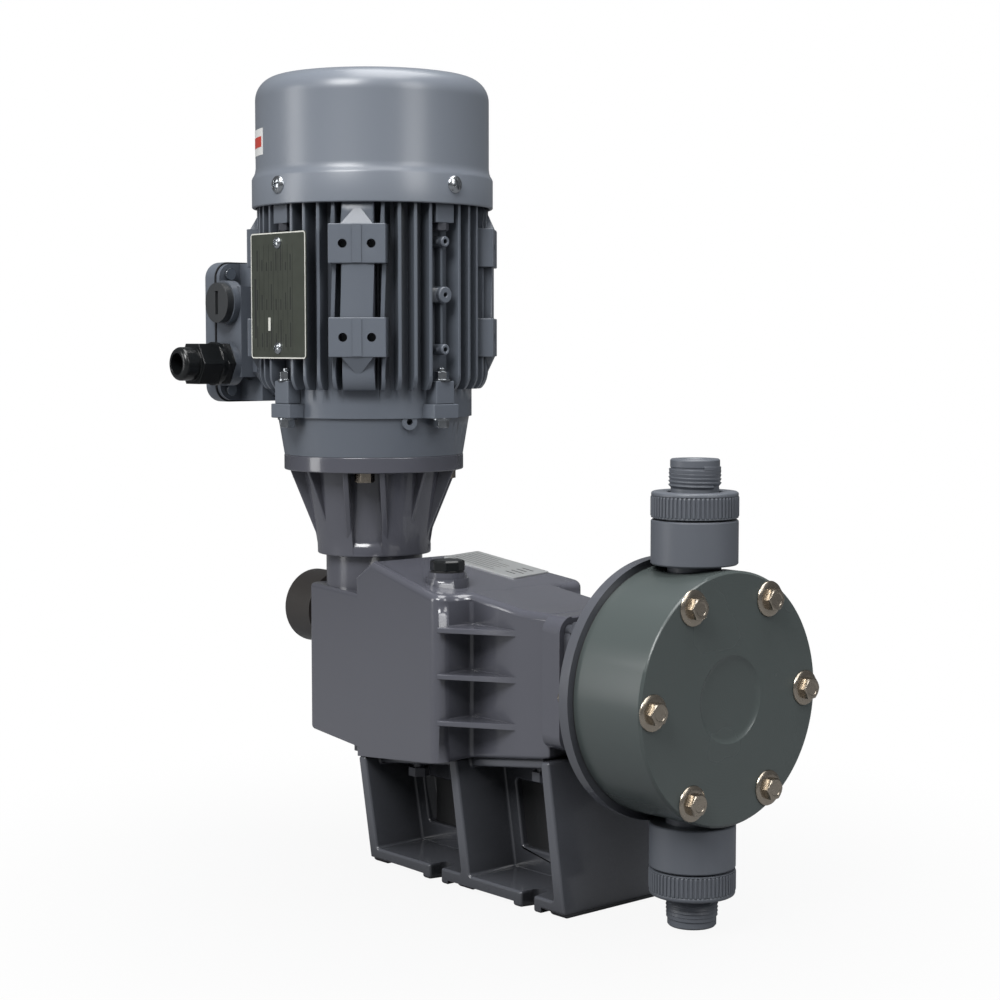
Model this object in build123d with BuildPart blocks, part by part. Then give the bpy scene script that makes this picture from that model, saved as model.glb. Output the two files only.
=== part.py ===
from build123d import *
from math import atan2, cos, degrees, pi, radians, sin, sqrt
import os

os.makedirs("parts", exist_ok=True)

# Diaphragm metering pump. The origin is the centre of the base on the floor, +X points to
# the pump head and +Z up the motor. The stroke axis runs along X at stroke_z.

# ---------------------------------------------------------------- driving dimensions (mm)
stroke_z = 120.0            # height of the stroke axis
motor_x = -124.0            # vertical axis of the motor and the worm
wheel_x = -80.0             # axis of the worm wheel and the eccentric shaft
valve_x = 134.3             # vertical axis of both valves
stroke = 4.0                # full stroke of the diaphragm
run_gap = 0.05              # radial gap of a running fit
free_gap = 0.3              # gap between pieces that pass or lie beside each other

base_half_x = 80.0
base_half_y = 38.0
base_plate = 8.5            # top of the foot plate above the floor
base_pad = 2.5              # height of the pads under the foot plate
base_wall = 6.5
base_rake = 11.0            # how far the walls lean back over their height
base_web_half = 4.5
slot_width = 9.0
slot_depth = 12.0
slot_xs = (-22.0, 53.0)

case_rear_x = -157.0
case_wide_x = 0.6
case_rear_half = 24.5
case_wide_half = 55.0
case_wall = 4.5
rear_box_x = -97.0          # front end of the low rear box
rear_box_bottom = 64.0
rear_box_top = 152.0
mid_bottom_rear = 58.0      # underside of the middle body at rear_box_x
mid_bottom_front = 79.0     # underside at the front face
mid_top_rear = 161.0
mid_top_peak = 172.0
mid_top_peak_x = -75.0
mid_top_front = 160.0
front_face_x = 62.0
front_half = 31.0
front_top = 155.0
front_dip_x = 39.0          # where the sloping top of the front block turns level
case_round = 4.0
front_bore = 22.0
neck_r = 28.3
neck_top = 171.0
neck_bore = 21.0

cover_x = 75.0              # front face of the bearing cover
cover_half_y = 36.0
cover_half_z = 35.0

ring_rear_x = 107.8
ring_front_x = 114.0
ring_r = 67.0
head_neck_r = 30.0
head_neck_bore = 26.0
head_front_x = 159.4
head_r = 63.2
bolt_circle = 54.8
bolt_count = 6
head_bolt = 6.0             # thread of the head bolts
washer_r = 9.0
washer_t = 1.6
hex_af = 10.0
hex_head = 4.0
chamber_r = 40.0
chamber_depth = 5.0
diaphragm_r = 47.0
diaphragm_t = 3.0

valve_start = 67.3          # distances from the stroke axis along a valve
valve_end = 87.0
union_end = 101.0
spigot_end = 117.0
valve_r = 21.75
valve_neck_r = 15.0
union_r = 22.0
spigot_r = 13.2
spigot_neck_r = 12.8        # plain shank inside the union nut
relief_length = 0.5
port_r = 7.0
ball_r = 7.5
seat_bore = 5.5
seat_t = 4.0
ball_lift = 3.0
cage_r = 9.5

rod_r = 9.0
wheel_pitch_r = 30.0
wheel_teeth = 20
tooth_module = 2.0 * wheel_pitch_r / wheel_teeth
wheel_half = 7.0
shaft_r = 8.0
cam_r = 16.0
cam_inner = 8.0
cam_outer = 16.0
throw = stroke / 2
worm_pitch_r = wheel_x - motor_x - wheel_pitch_r
worm_length = 46.0

knob_z = 134.0
knob_r = 22.0
knob_rear_x = -186.0
spindle_r = 5.0

flange_z = 229.4            # joint face between lantern and motor
lantern_flange = 9.0
lantern_r = 52.5
lantern_foot_r = 33.3
motor_bolt_circle = 42.5
shaft_d = 14.0
key_width = 5.0
key_height = 5.0
key_depth = 3.0
key_length = 16.0
key_low = 202.0
frame_bottom = 259.5
frame_top = 374.0
frame_core_r = 57.5
fin_r = 67.0
fin_t = 2.2
pad_r = 71.5
cowl_r = 70.0
cowl_upper_r = 67.7
cowl_top = 452.7
box_lid_x = -235.0
box_back_x = -196.0
box_half_y = 45.0
box_bottom = 258.0
box_top = 343.0
entry_x = -209.5
plug_z = 318.0
gland_z = 281.5


# ---------------------------------------------------------------- shared shapes
def motor_plane(z):
    return Plane(origin=(motor_x, 0, z))


def stroke_plane(x):
    return Plane(origin=(x, 0, stroke_z), x_dir=(0, 1, 0), z_dir=(1, 0, 0))


def wheel_plane(y):
    return Plane(origin=(wheel_x, y, stroke_z), x_dir=(1, 0, 0), z_dir=(0, 1, 0))


def ring(plane, outer, length, inner=0.0, mode=Mode.ADD):
    with BuildSketch(plane) as profile:
        Circle(outer)
        if inner > 0:
            Circle(inner, mode=Mode.SUBTRACT)
    extrude(profile.sketch, amount=length, mode=mode)


def prism(plane, points, length, mode=Mode.ADD, both=False):
    with BuildSketch(plane) as profile:
        with BuildLine():
            Polyline(*points, close=True)
        make_face()
    extrude(profile.sketch, amount=length, mode=mode, both=both)


def hexagon(plane, across, length, mode=Mode.ADD):
    with BuildSketch(plane) as profile:
        RegularPolygon(across / 2, 6, major_radius=False)
    extrude(profile.sketch, amount=length, mode=mode)


def save(piece, name):
    piece.part.label = name
    export_step(piece.part, f"parts/{name}.step")


def case_half(x):
    slope = (case_wide_half - case_rear_half) / (case_wide_x - case_rear_x)
    return case_rear_half + slope * (x - case_rear_x)


def underside(x):
    slope = (mid_bottom_front - mid_bottom_rear) / (front_face_x - rear_box_x)
    return mid_bottom_rear + slope * (x - rear_box_x)


def top_side(x):
    slope = (mid_top_front - mid_top_peak) / (case_wide_x - mid_top_peak_x)
    return mid_top_peak + slope * (x - mid_top_peak_x)


# ---------------------------------------------------------------- base
wall_feet = (-base_half_x, 0.0, base_half_x - base_wall)
base_flange = 5.0
base_strip = 12.0           # width of the pads across the foot plate
base_bolt_xs = (-62.0, 42.0)
base_bolt_y = 17.0
with BuildPart() as base:
    with BuildSketch(Plane.XY.offset(base_pad)):
        RectangleRounded(2 * base_half_x, 2 * base_half_y, 3)
    extrude(amount=base_plate - base_pad)
    for foot in wall_feet:
        top_x = foot - base_rake
        prism(Plane.XZ, [(foot, base_pad), (foot + base_wall + 1, base_pad),
                         (top_x + base_wall, underside(top_x + base_wall)),
                         (top_x, underside(top_x))], base_half_y, both=True)
    prism(Plane.XZ, [(-base_half_x, base_pad), (base_half_x - base_wall, base_pad),
                     (base_half_x - base_wall - base_rake, underside(base_half_x - base_wall - base_rake)),
                     (-base_half_x - base_rake, underside(-base_half_x - base_rake))],
          base_web_half, both=True)
    flange_rear = -base_half_x - base_rake
    flange_front = front_face_x
    prism(Plane.XZ, [(flange_rear, underside(flange_rear) - base_flange),
                     (flange_front, underside(flange_front) - base_flange),
                     (flange_front, underside(flange_front)), (flange_rear, underside(flange_rear))],
          front_half - 3, both=True)
    # one window through the web of each bay
    for foot in wall_feet[:2]:
        lower = base_plate + 12
        upper = underside(foot) - 14
        left = foot + base_wall + 9
        right = foot + base_half_x - 9
        lean_low = base_rake * lower / underside(foot)
        lean_high = base_rake * upper / underside(foot)
        prism(Plane.XZ, [(left - lean_low, lower), (right - lean_low, lower),
                         (right - lean_high, upper), (left - lean_high, upper)],
              base_web_half + 1, mode=Mode.SUBTRACT, both=True)
    # pads beside each open slot, then the slots
    for side in (-1, 1):
        for slot_x in slot_xs:
            with BuildSketch(Plane.XY):
                with Locations((slot_x, side * (base_half_y - slot_depth / 2))):
                    Rectangle(slot_width + 12, slot_depth)
            extrude(amount=base_pad)
            with BuildSketch(Plane.XY):
                with Locations((slot_x, side * (base_half_y - slot_depth + slot_width / 2))):
                    Circle(slot_width / 2)
                with Locations((slot_x, side * (base_half_y - slot_depth / 2 + slot_width / 2))):
                    Rectangle(slot_width, slot_depth)
            extrude(amount=base_plate, mode=Mode.SUBTRACT)
    for pad_x in (-base_half_x + base_strip / 2, 0, base_half_x - base_strip / 2):
        with BuildSketch(Plane.XY):
            with Locations((pad_x, 0)):
                Rectangle(base_strip, 2 * base_half_y - 6)
        extrude(amount=base_pad)
    for bolt_x in base_bolt_xs:
        for side in (-1, 1):
            with Locations((bolt_x, side * base_bolt_y, underside(bolt_x))):
                Cylinder(3.3, 30, mode=Mode.SUBTRACT)
save(base, "base")

# ---------------------------------------------------------------- gear housing

def case_outline(inset):
    rear = case_rear_x + inset
    front = case_wide_x - inset
    return [(rear, -case_half(rear) + inset), (front, -case_half(front) + inset),
            (front, case_half(front) - inset), (rear, case_half(rear) - inset)]


def side_outline(inset):
    return [(case_rear_x + inset, rear_box_bottom + inset),
            (rear_box_x + inset, rear_box_bottom + inset),
            (rear_box_x + inset, underside(rear_box_x) + inset),
            (case_wide_x - inset, underside(case_wide_x) + inset),
            (case_wide_x - inset, mid_top_front - inset),
            (mid_top_peak_x, mid_top_peak - inset),
            (rear_box_x + inset, mid_top_rear - inset),
            (rear_box_x + inset, rear_box_top - inset),
            (case_rear_x + inset, rear_box_top - inset)]


bearing_r = 16.0
bearing_t = 9.0
worm_bearing_low = 72.0
worm_bearing_high = 176.0
rib_zs = (142.3, 117.5, 92.6)
rib_t = 3.0
cap_x = -22.0
cap_y = -29.0
cap_boss_r = 10.5
cap_boss_h = 6.3
cap_hole = 6.0
# front block that carries the bearing cover
with BuildPart() as front_block:
    prism(Plane.XZ, [(case_wide_x - 8, underside(case_wide_x - 8)), (front_face_x, underside(front_face_x)),
                     (front_face_x, front_top), (front_dip_x, front_top), (case_wide_x - 8, mid_top_front + 1)],
          front_half, both=True)
    long_edges = front_block.edges().filter_by_position(Axis.Z, front_top - 1, mid_top_front + 2)
    fillet(long_edges.filter_by(Axis.Y, reverse=True), case_round)
with BuildPart() as gear_housing:
    prism(Plane.XY, case_outline(0), 300)
    with BuildSketch(Plane.XZ) as side_profile:
        with BuildLine():
            Polyline(*side_outline(0), close=True)
        make_face()
    extrude(side_profile.sketch, amount=100, both=True, mode=Mode.INTERSECT)
    fillet(gear_housing.edges().filter_by(Axis.Z), 7)
    upper_edges = gear_housing.edges().filter_by_position(Axis.Z, mid_top_front - 1, mid_top_peak + 1)
    fillet(upper_edges.filter_by(GeomType.LINE).filter_by(Axis.Y, reverse=True), case_round)
    add(front_block.part)
    for side in (-1, 1):
        for rib_z in rib_zs:
            prism(Plane.XY.offset(rib_z - rib_t / 2),
                  [(case_wide_x - 4, side * (case_wide_half - 6)), (case_wide_x, side * case_wide_half),
                   (38, side * (front_half - 1)), (case_wide_x - 4, side * (front_half - 1))], rib_t)
    # round neck under the lantern
    ring(motor_plane(rear_box_top - 12), neck_r, neck_top - rear_box_top + 12)
    # two lugs under the rear box
    for side in (-1, 1):
        with BuildSketch(Plane.XY.offset(rear_box_bottom - 6)):
            with Locations((-104, side * 22)):
                RectangleRounded(14, 10, 3)
        extrude(amount=7)
    # cavity for the gears
    with BuildSketch(Plane.XZ) as side_cavity:
        with BuildLine():
            Polyline(*side_outline(case_wall), close=True)
        make_face()
    with BuildSketch(Plane.XY) as plan_cavity:
        with BuildLine():
            Polyline(*case_outline(case_wall), close=True)
        make_face()
    cavity = extrude(side_cavity.sketch, amount=100, both=True, mode=Mode.PRIVATE)
    plan_block = extrude(plan_cavity.sketch, amount=300, mode=Mode.PRIVATE)
    add(cavity & plan_block, mode=Mode.SUBTRACT)
    ring(wheel_plane(-wheel_half - 2), wheel_pitch_r + tooth_module + 1, 2 * wheel_half + 4, mode=Mode.SUBTRACT)
    # bearing seats for the worm and the wheel shaft
    ring(motor_plane(rear_box_bottom), bearing_r + 5, worm_bearing_low + bearing_t - rear_box_bottom)
    ring(motor_plane(worm_bearing_low), bearing_r, 60, mode=Mode.SUBTRACT)
    ring(motor_plane(rear_box_top - 14), neck_bore, 60, mode=Mode.SUBTRACT)
    for side in (-1, 1):
        inner_y = 25.0
        outer_y = case_half(wheel_x) - 3
        low_y = min(side * inner_y, side * outer_y)
        ring(wheel_plane(low_y), bearing_r + 4, outer_y - inner_y)
        ring(wheel_plane(min(side * inner_y, side * (inner_y + bearing_t))), bearing_r, bearing_t,
             mode=Mode.SUBTRACT)
    # bore for the push rod and its spring
    ring(stroke_plane(case_wide_x - case_wall - 4), front_bore, 90, mode=Mode.SUBTRACT)
    # bore for the stroke adjuster and the oil filler
    ring(Plane(origin=(case_rear_x - 1, 0, knob_z), z_dir=(1, 0, 0)), spindle_r + 4, 12, mode=Mode.SUBTRACT)
    ring(Plane(origin=(cap_x, cap_y, top_side(cap_x) - 3)), cap_boss_r + 1.5, cap_boss_h)
    ring(Plane(origin=(cap_x, cap_y, top_side(cap_x) - 3)), cap_boss_r, cap_boss_h + 3)
    ring(Plane(origin=(cap_x, cap_y, top_side(cap_x) - 12)), cap_hole, 30, mode=Mode.SUBTRACT)
save(gear_housing, "gear_housing")

# ---------------------------------------------------------------- bearing cover and head bracket
cover_bolt_y = 29.0
cover_bolt_z = 28.0
cover_points = [(y, z) for y in (-cover_bolt_y, cover_bolt_y) for z in (-cover_bolt_z, cover_bolt_z)]
bush_wall = 3.0
with BuildPart() as front_cover:
    with BuildSketch(stroke_plane(front_face_x)):
        RectangleRounded(2 * cover_half_y, 2 * cover_half_z, 9)
        Circle(rod_r + bush_wall, mode=Mode.SUBTRACT)
        with Locations(*cover_points):
            Circle(3.3, mode=Mode.SUBTRACT)
    extrude(amount=cover_x - front_face_x)
save(front_cover, "front_cover")

head_bolt_points = [(bolt_circle * cos(radians(60 * k)), bolt_circle * sin(radians(60 * k)))
                    for k in range(bolt_count)]
bracket_flange = 6.0
with BuildPart() as head_bracket:
    with BuildSketch(stroke_plane(cover_x)):
        RectangleRounded(2 * cover_half_y - 6, 2 * cover_half_z - 6, 9)
    extrude(amount=bracket_flange)
    ring(stroke_plane(cover_x), head_neck_r, ring_rear_x - cover_x)
    ring(stroke_plane(ring_rear_x), ring_r, ring_front_x - ring_rear_x)
    ring(stroke_plane(cover_x), rod_r + 6, 8, mode=Mode.SUBTRACT)
    ring(stroke_plane(cover_x + 7), head_neck_bore, 60, mode=Mode.SUBTRACT)
    ring(stroke_plane(ring_front_x - diaphragm_t), diaphragm_r + free_gap, diaphragm_t, mode=Mode.SUBTRACT)
    with BuildSketch(stroke_plane(ring_rear_x)):
        with Locations(*head_bolt_points):
            Circle(head_bolt / 2 + free_gap)
    extrude(amount=20, mode=Mode.SUBTRACT)
    with BuildSketch(stroke_plane(cover_x)):
        with Locations(*cover_points):
            Circle(3.3)
    extrude(amount=bracket_flange, mode=Mode.SUBTRACT)
    # leak drain in the underside of the neck
    with Locations(((cover_x + ring_rear_x) / 2 + 4, 0, stroke_z - head_neck_r)):
        Cylinder(3, 16, mode=Mode.SUBTRACT)
save(head_bracket, "head_bracket")

cover_bolt_head = 5.0
with BuildPart() as cover_bolts:
    with BuildSketch(stroke_plane(cover_x + bracket_flange)):
        with Locations(*cover_points):
            RegularPolygon(5, 6, major_radius=False)
    extrude(amount=cover_bolt_head)
    with BuildSketch(stroke_plane(front_face_x)):
        with Locations(*cover_points):
            Circle(3)
    extrude(amount=cover_x + bracket_flange - front_face_x)
save(cover_bolts, "cover_bolts")

with BuildPart() as base_bolts:
    for bolt_x in base_bolt_xs:
        for side in (-1, 1):
            seat = underside(bolt_x) - base_flange - 3
            with BuildSketch(Plane(origin=(bolt_x, side * base_bolt_y, seat - 5))):
                RegularPolygon(5, 6, major_radius=False)
            extrude(amount=5)
            with BuildSketch(Plane(origin=(bolt_x, side * base_bolt_y, seat))):
                Circle(3)
            extrude(amount=base_flange + 2)
save(base_bolts, "base_bolts")

# ---------------------------------------------------------------- pump head
dimple_r = 22.0
dimple_depth = 1.5
with BuildPart() as pump_head:
    ring(stroke_plane(ring_front_x), head_r, head_front_x - ring_front_x)
    front_rim = pump_head.edges().filter_by(GeomType.CIRCLE).sort_by(Axis.X)[-1]
    chamfer(front_rim, 1.2)
    ring(stroke_plane(ring_front_x), chamber_r, chamber_depth, mode=Mode.SUBTRACT)
    ring(stroke_plane(ring_front_x + chamber_depth), port_r, valve_x - ring_front_x - chamber_depth,
         mode=Mode.SUBTRACT)
    ring(Plane(origin=(valve_x, 0, stroke_z - head_r - 1)), port_r, 2 * head_r + 2, mode=Mode.SUBTRACT)
    for side in (-1, 1):
        ring(Plane(origin=(valve_x, 0, stroke_z + side * (valve_start - 10)), z_dir=(0, 0, side)),
             valve_neck_r, 20, mode=Mode.SUBTRACT)
    with BuildSketch(stroke_plane(ring_front_x)):
        with Locations(*head_bolt_points):
            Circle(head_bolt / 2 + free_gap)
    extrude(amount=head_front_x - ring_front_x, mode=Mode.SUBTRACT)
    lens_r = dimple_r ** 2 / (2 * dimple_depth) + dimple_depth / 2
    with Locations((head_front_x - dimple_depth + lens_r, 0, stroke_z)):
        Sphere(lens_r, mode=Mode.SUBTRACT)
save(pump_head, "pump_head")

with BuildPart() as diaphragm:
    ring(stroke_plane(ring_front_x - diaphragm_t), diaphragm_r, diaphragm_t)
save(diaphragm, "diaphragm")

nut_t = 5.0
with BuildPart() as head_bolts:
    with BuildSketch(stroke_plane(head_front_x + washer_t)):
        with Locations(*head_bolt_points):
            RegularPolygon(hex_af / 2, 6, major_radius=False)
    extrude(amount=hex_head)
    with BuildSketch(stroke_plane(ring_rear_x - nut_t - 2)):
        with Locations(*head_bolt_points):
            Circle(head_bolt / 2)
    extrude(amount=head_front_x + washer_t - ring_rear_x + nut_t + 2)
save(head_bolts, "head_bolts")

with BuildPart() as head_washers:
    with BuildSketch(stroke_plane(head_front_x)):
        with Locations(*head_bolt_points):
            Circle(washer_r)
            Circle(head_bolt / 2 + run_gap, mode=Mode.SUBTRACT)
    extrude(amount=washer_t)
save(head_washers, "head_washers")

with BuildPart() as head_nuts:
    with BuildSketch(stroke_plane(ring_rear_x - nut_t)):
        with Locations(*head_bolt_points):
            RegularPolygon(hex_af / 2, 6, major_radius=False)
            Circle(head_bolt / 2 + run_gap, mode=Mode.SUBTRACT)
    extrude(amount=nut_t)
save(head_nuts, "head_nuts")

# ---------------------------------------------------------------- valves and unions

def valve_plane(side, distance):
    return Plane(origin=(valve_x, 0, stroke_z + side * distance), x_dir=(1, 0, 0), z_dir=(0, 0, side))


# the seat lies at the outer end of the suction valve and at the inner end of the discharge valve
suction_seat_at = valve_end - seat_t
discharge_seat_at = valve_start + 1
seat_contact = sqrt(ball_r ** 2 - seat_bore ** 2)
for name, side in (("suction", -1), ("discharge", 1)):
    seat_at = suction_seat_at if side < 0 else discharge_seat_at
    with BuildPart() as valve_body:
        ring(valve_plane(side, valve_start), valve_r, valve_end - valve_start)
        rims = valve_body.edges().filter_by(GeomType.CIRCLE)
        chamfer(rims, 1)
        ring(valve_plane(side, valve_start - 10), valve_neck_r - run_gap, 12)
        ring(valve_plane(side, valve_start - 10), port_r, 40, mode=Mode.SUBTRACT)
        if side < 0:
            ring(valve_plane(side, valve_start + 4), cage_r, 30, mode=Mode.SUBTRACT)
        else:
            ring(valve_plane(side, seat_at), cage_r, 30, mode=Mode.SUBTRACT)
        ring(valve_plane(side, valve_end - 2.5), cage_r + 4, 3, mode=Mode.SUBTRACT)
    save(valve_body, f"{name}_valve_body")
    with BuildPart() as valve_seat:
        ring(valve_plane(side, seat_at), cage_r - run_gap, seat_t, seat_bore)
    save(valve_seat, f"{name}_seat")
    # each ball rests on the upper face of its seat
    if side < 0:
        ball_z = stroke_z - seat_at + seat_contact + run_gap
    else:
        ball_z = stroke_z + seat_at + seat_t + seat_contact + run_gap
    with BuildPart() as ball:
        with Locations((valve_x, 0, ball_z)):
            Sphere(ball_r)
    save(ball, f"{name}_ball")
    with BuildPart() as oring:
        with BuildSketch(valve_plane(side, valve_end - 2.5)):
            Circle(cage_r + 3.8)
            Circle(cage_r + 0.6, mode=Mode.SUBTRACT)
        extrude(amount=2.5)
    save(oring, f"{name}_oring")
    with BuildPart() as connector:
        ring(valve_plane(side, valve_end), valve_r - 3.5, 4)
        ring(valve_plane(side, valve_end), spigot_neck_r, union_end - valve_end + relief_length)
        ring(valve_plane(side, union_end + relief_length), spigot_r, spigot_end - union_end - relief_length)
        end_rim = connector.edges().filter_by(GeomType.CIRCLE).sort_by(Axis.Z)[-1 if side > 0 else 0]
        chamfer(end_rim, 1)
        ring(valve_plane(side, valve_end), port_r, 40, mode=Mode.SUBTRACT)
    save(connector, f"{name}_connector")
    with BuildPart() as union_nut:
        ring(valve_plane(side, valve_end + free_gap), union_r, union_end - valve_end - free_gap)
        union_rims = union_nut.edges().filter_by(GeomType.CIRCLE)
        chamfer(union_rims, 1)
        ring(valve_plane(side, valve_end), valve_r - 3.5 + run_gap, 4 + free_gap, mode=Mode.SUBTRACT)
        ring(valve_plane(side, valve_end), spigot_r + free_gap, 40, mode=Mode.SUBTRACT)
    save(union_nut, f"{name}_union_nut")

# ---------------------------------------------------------------- push rod, bush, seal, spring
cam_sweep = cam_r + throw
arm_inner = cam_inner + 1.0
arm_outer = cam_outer
follower_x = wheel_x + cam_sweep + free_gap
crosshead_x = wheel_x + wheel_pitch_r + tooth_module + 1.5
crosshead_t = 10.0
disc_r = 24.0
disc_t = 6.0
disc_x = ring_front_x - diaphragm_t - free_gap - disc_t
ear_z = knob_z - stroke_z
ear_t = 6.0
ear_reach = 4.6
arm_rise = ear_z + 4.0
prong_inner = 18.4
prong_t = 2.3
with BuildPart() as push_rod:
    with BuildSketch(stroke_plane(crosshead_x)):
        Rectangle(2 * arm_outer, 24)
    extrude(amount=crosshead_t)
    ring(stroke_plane(crosshead_x + crosshead_t), rod_r, disc_x - crosshead_x - crosshead_t)
    for side in (-1, 1):
        low_y = min(side * arm_inner, side * arm_outer)
        with BuildSketch(Plane.XZ.offset(-low_y - (arm_outer - arm_inner))):
            with BuildLine():
                Polyline((follower_x, stroke_z - 12), (crosshead_x + 1, stroke_z - 12),
                         (crosshead_x + 1, stroke_z + 12), (follower_x + ear_t, stroke_z + arm_rise),
                         (follower_x, stroke_z + arm_rise), close=True)
            make_face()
        extrude(amount=arm_outer - arm_inner)
        with Locations((follower_x + ear_t / 2, side * (arm_outer + ear_reach / 2 - 0.5), knob_z)):
            Box(ear_t, ear_reach + 1, 8)
save(push_rod, "push_rod")

with BuildPart() as diaphragm_disc:
    ring(stroke_plane(disc_x), disc_r, disc_t)
    chamfer(diaphragm_disc.edges().filter_by(GeomType.CIRCLE), 1)
save(diaphragm_disc, "diaphragm_disc")

with BuildPart() as rod_bush:
    ring(stroke_plane(front_face_x), rod_r + bush_wall - 0.01, cover_x - front_face_x, rod_r + run_gap)
save(rod_bush, "rod_bush")

with BuildPart() as rod_seal:
    ring(stroke_plane(cover_x), rod_r + 6, 7, rod_r + run_gap)
save(rod_seal, "rod_seal")

spring_from = crosshead_x + crosshead_t + 1.0
spring_wire = 1.5
spring_r = 14.0
spring_to = front_face_x - free_gap
spring_turns = 6
spring_pitch = (spring_to - spring_from - 2 * spring_wire) / spring_turns
with BuildPart() as return_spring:
    with BuildLine() as coil:
        Helix(spring_pitch, spring_pitch * spring_turns, spring_r,
              center=(spring_from + spring_wire, 0, stroke_z), direction=(1, 0, 0))
    with BuildSketch(Plane(origin=coil.line @ 0, z_dir=coil.line % 0)):
        Rectangle(2 * spring_wire, 2 * spring_wire)
    sweep(is_frenet=True)
save(return_spring, "return_spring")

# ---------------------------------------------------------------- worm wheel and eccentric shaft
wheel_tip = wheel_pitch_r + tooth_module
wheel_root = wheel_pitch_r - 1.2 * tooth_module
tooth_half_root = 2.5
tooth_half_tip = 1.1
with BuildPart() as worm_wheel:
    with BuildSketch(wheel_plane(-wheel_half)):
        Circle(wheel_root)
        with PolarLocations(0, wheel_teeth, start_angle=180 / wheel_teeth):
            Polygon((wheel_root - 1, -tooth_half_root), (wheel_tip, -tooth_half_tip),
                    (wheel_tip, tooth_half_tip), (wheel_root - 1, tooth_half_root), align=None)
        Circle(shaft_r + run_gap, mode=Mode.SUBTRACT)
    extrude(amount=2 * wheel_half)
save(worm_wheel, "worm_wheel")

shaft_half = 33.5
with BuildPart() as eccentric_shaft:
    ring(wheel_plane(-shaft_half), shaft_r, 2 * shaft_half)
    for side in (-1, 1):
        low_y = min(side * cam_inner, side * cam_outer)
        ring(Plane(origin=(wheel_x - throw, low_y, stroke_z), x_dir=(1, 0, 0), z_dir=(0, 1, 0)),
             cam_r, cam_outer - cam_inner)
save(eccentric_shaft, "eccentric_shaft")

with BuildPart() as shaft_bearings:
    for side in (-1, 1):
        low_y = min(side * 25, side * (25 + bearing_t))
        ring(wheel_plane(low_y), bearing_r - 0.01, bearing_t, shaft_r + run_gap)
save(shaft_bearings, "shaft_bearings")

# ---------------------------------------------------------------- worm shaft
worm_root_r = worm_pitch_r - 1.2 * tooth_module + 0.3
worm_tip_r = worm_pitch_r + tooth_module
lead = pi * tooth_module
worm_hub_r = 11.5
worm_top = flange_z - 8
thread_half_root = 2.0
thread_half_tip = 1.0
thread_turns = worm_length / lead
thread_start = stroke_z - lead * round(worm_length / 2 / lead)
with BuildPart() as worm_shaft:
    ring(motor_plane(worm_bearing_low), 7.5, bearing_t + 2)
    ring(motor_plane(worm_bearing_low + bearing_t + 0.5), worm_root_r, 80)
    with BuildLine() as thread_path:
        Helix(lead, worm_length - 2, worm_root_r, center=(motor_x, 0, thread_start))
    with BuildSketch(Plane(origin=thread_path.line @ 0, x_dir=(1, 0, 0), z_dir=thread_path.line % 0)):
        with BuildLine():
            Polyline((-1.5, -thread_half_root), (worm_tip_r - worm_root_r, -thread_half_tip),
                     (worm_tip_r - worm_root_r, thread_half_tip), (-1.5, thread_half_root), close=True)
        make_face()
    sweep(is_frenet=True)
    ring(motor_plane(thread_start + lead * thread_turns), worm_hub_r, worm_top - thread_start - worm_length)
    ring(motor_plane(worm_top - 34), shaft_d / 2 + run_gap, 40, mode=Mode.SUBTRACT)
    with Locations((motor_x + shaft_d / 2 + key_height / 2 - key_depth, 0, (key_low + worm_top) / 2)):
        Box(key_height + 2 * run_gap, key_width, worm_top - key_low, mode=Mode.SUBTRACT)
save(worm_shaft, "worm_shaft")

with BuildPart() as worm_bearings:
    ring(motor_plane(worm_bearing_low), bearing_r - 0.01, bearing_t, 7.5 + run_gap)
    ring(motor_plane(neck_top - bearing_t - 4), neck_bore - 0.01, bearing_t, worm_hub_r + run_gap)
save(worm_bearings, "worm_bearings")

# ---------------------------------------------------------------- stroke adjuster
knob_front_x = case_rear_x - 3.0
bush_out = 3.0
bush_r = spindle_r + 4
crossbar_x = case_rear_x + case_wall + 1.0
crossbar_t = 3.5
adjust_travel = 4.0
prong_gap = 0.4
prong_tip_x = follower_x - adjust_travel - prong_gap
with BuildPart() as knob_bush:
    adjuster_plane = Plane(origin=(case_rear_x, 0, knob_z), x_dir=(0, 1, 0), z_dir=(1, 0, 0))
    ring(adjuster_plane, bush_r - 0.01, case_wall, spindle_r + run_gap)
    ring(adjuster_plane.offset(-bush_out + 0.2), bush_r + 5, bush_out - 0.2, spindle_r + run_gap)
save(knob_bush, "knob_bush")

with BuildPart() as stop_spindle:
    ring(adjuster_plane.offset(-20), spindle_r, crossbar_x - case_rear_x + 20)
    with Locations((crossbar_x + crossbar_t / 2, 0, knob_z)):
        Box(crossbar_t, 2 * prong_inner, 8)
    for side in (-1, 1):
        with Locations(((crossbar_x + prong_tip_x) / 2, side * (prong_inner + prong_t / 2), knob_z)):
            Box(prong_tip_x - crossbar_x, prong_t, 8)
save(stop_spindle, "stop_spindle")

knob_rim = 3.0
with BuildPart() as adjusting_knob:
    ring(adjuster_plane.offset(knob_rear_x - case_rear_x), knob_r, knob_front_x - knob_rear_x)
    fillet(adjusting_knob.edges().filter_by(GeomType.CIRCLE).sort_by(Axis.X)[0], knob_rim)
    ring(adjuster_plane.offset(-24), spindle_r + run_gap, 30, mode=Mode.SUBTRACT)
save(adjusting_knob, "adjusting_knob")

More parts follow.
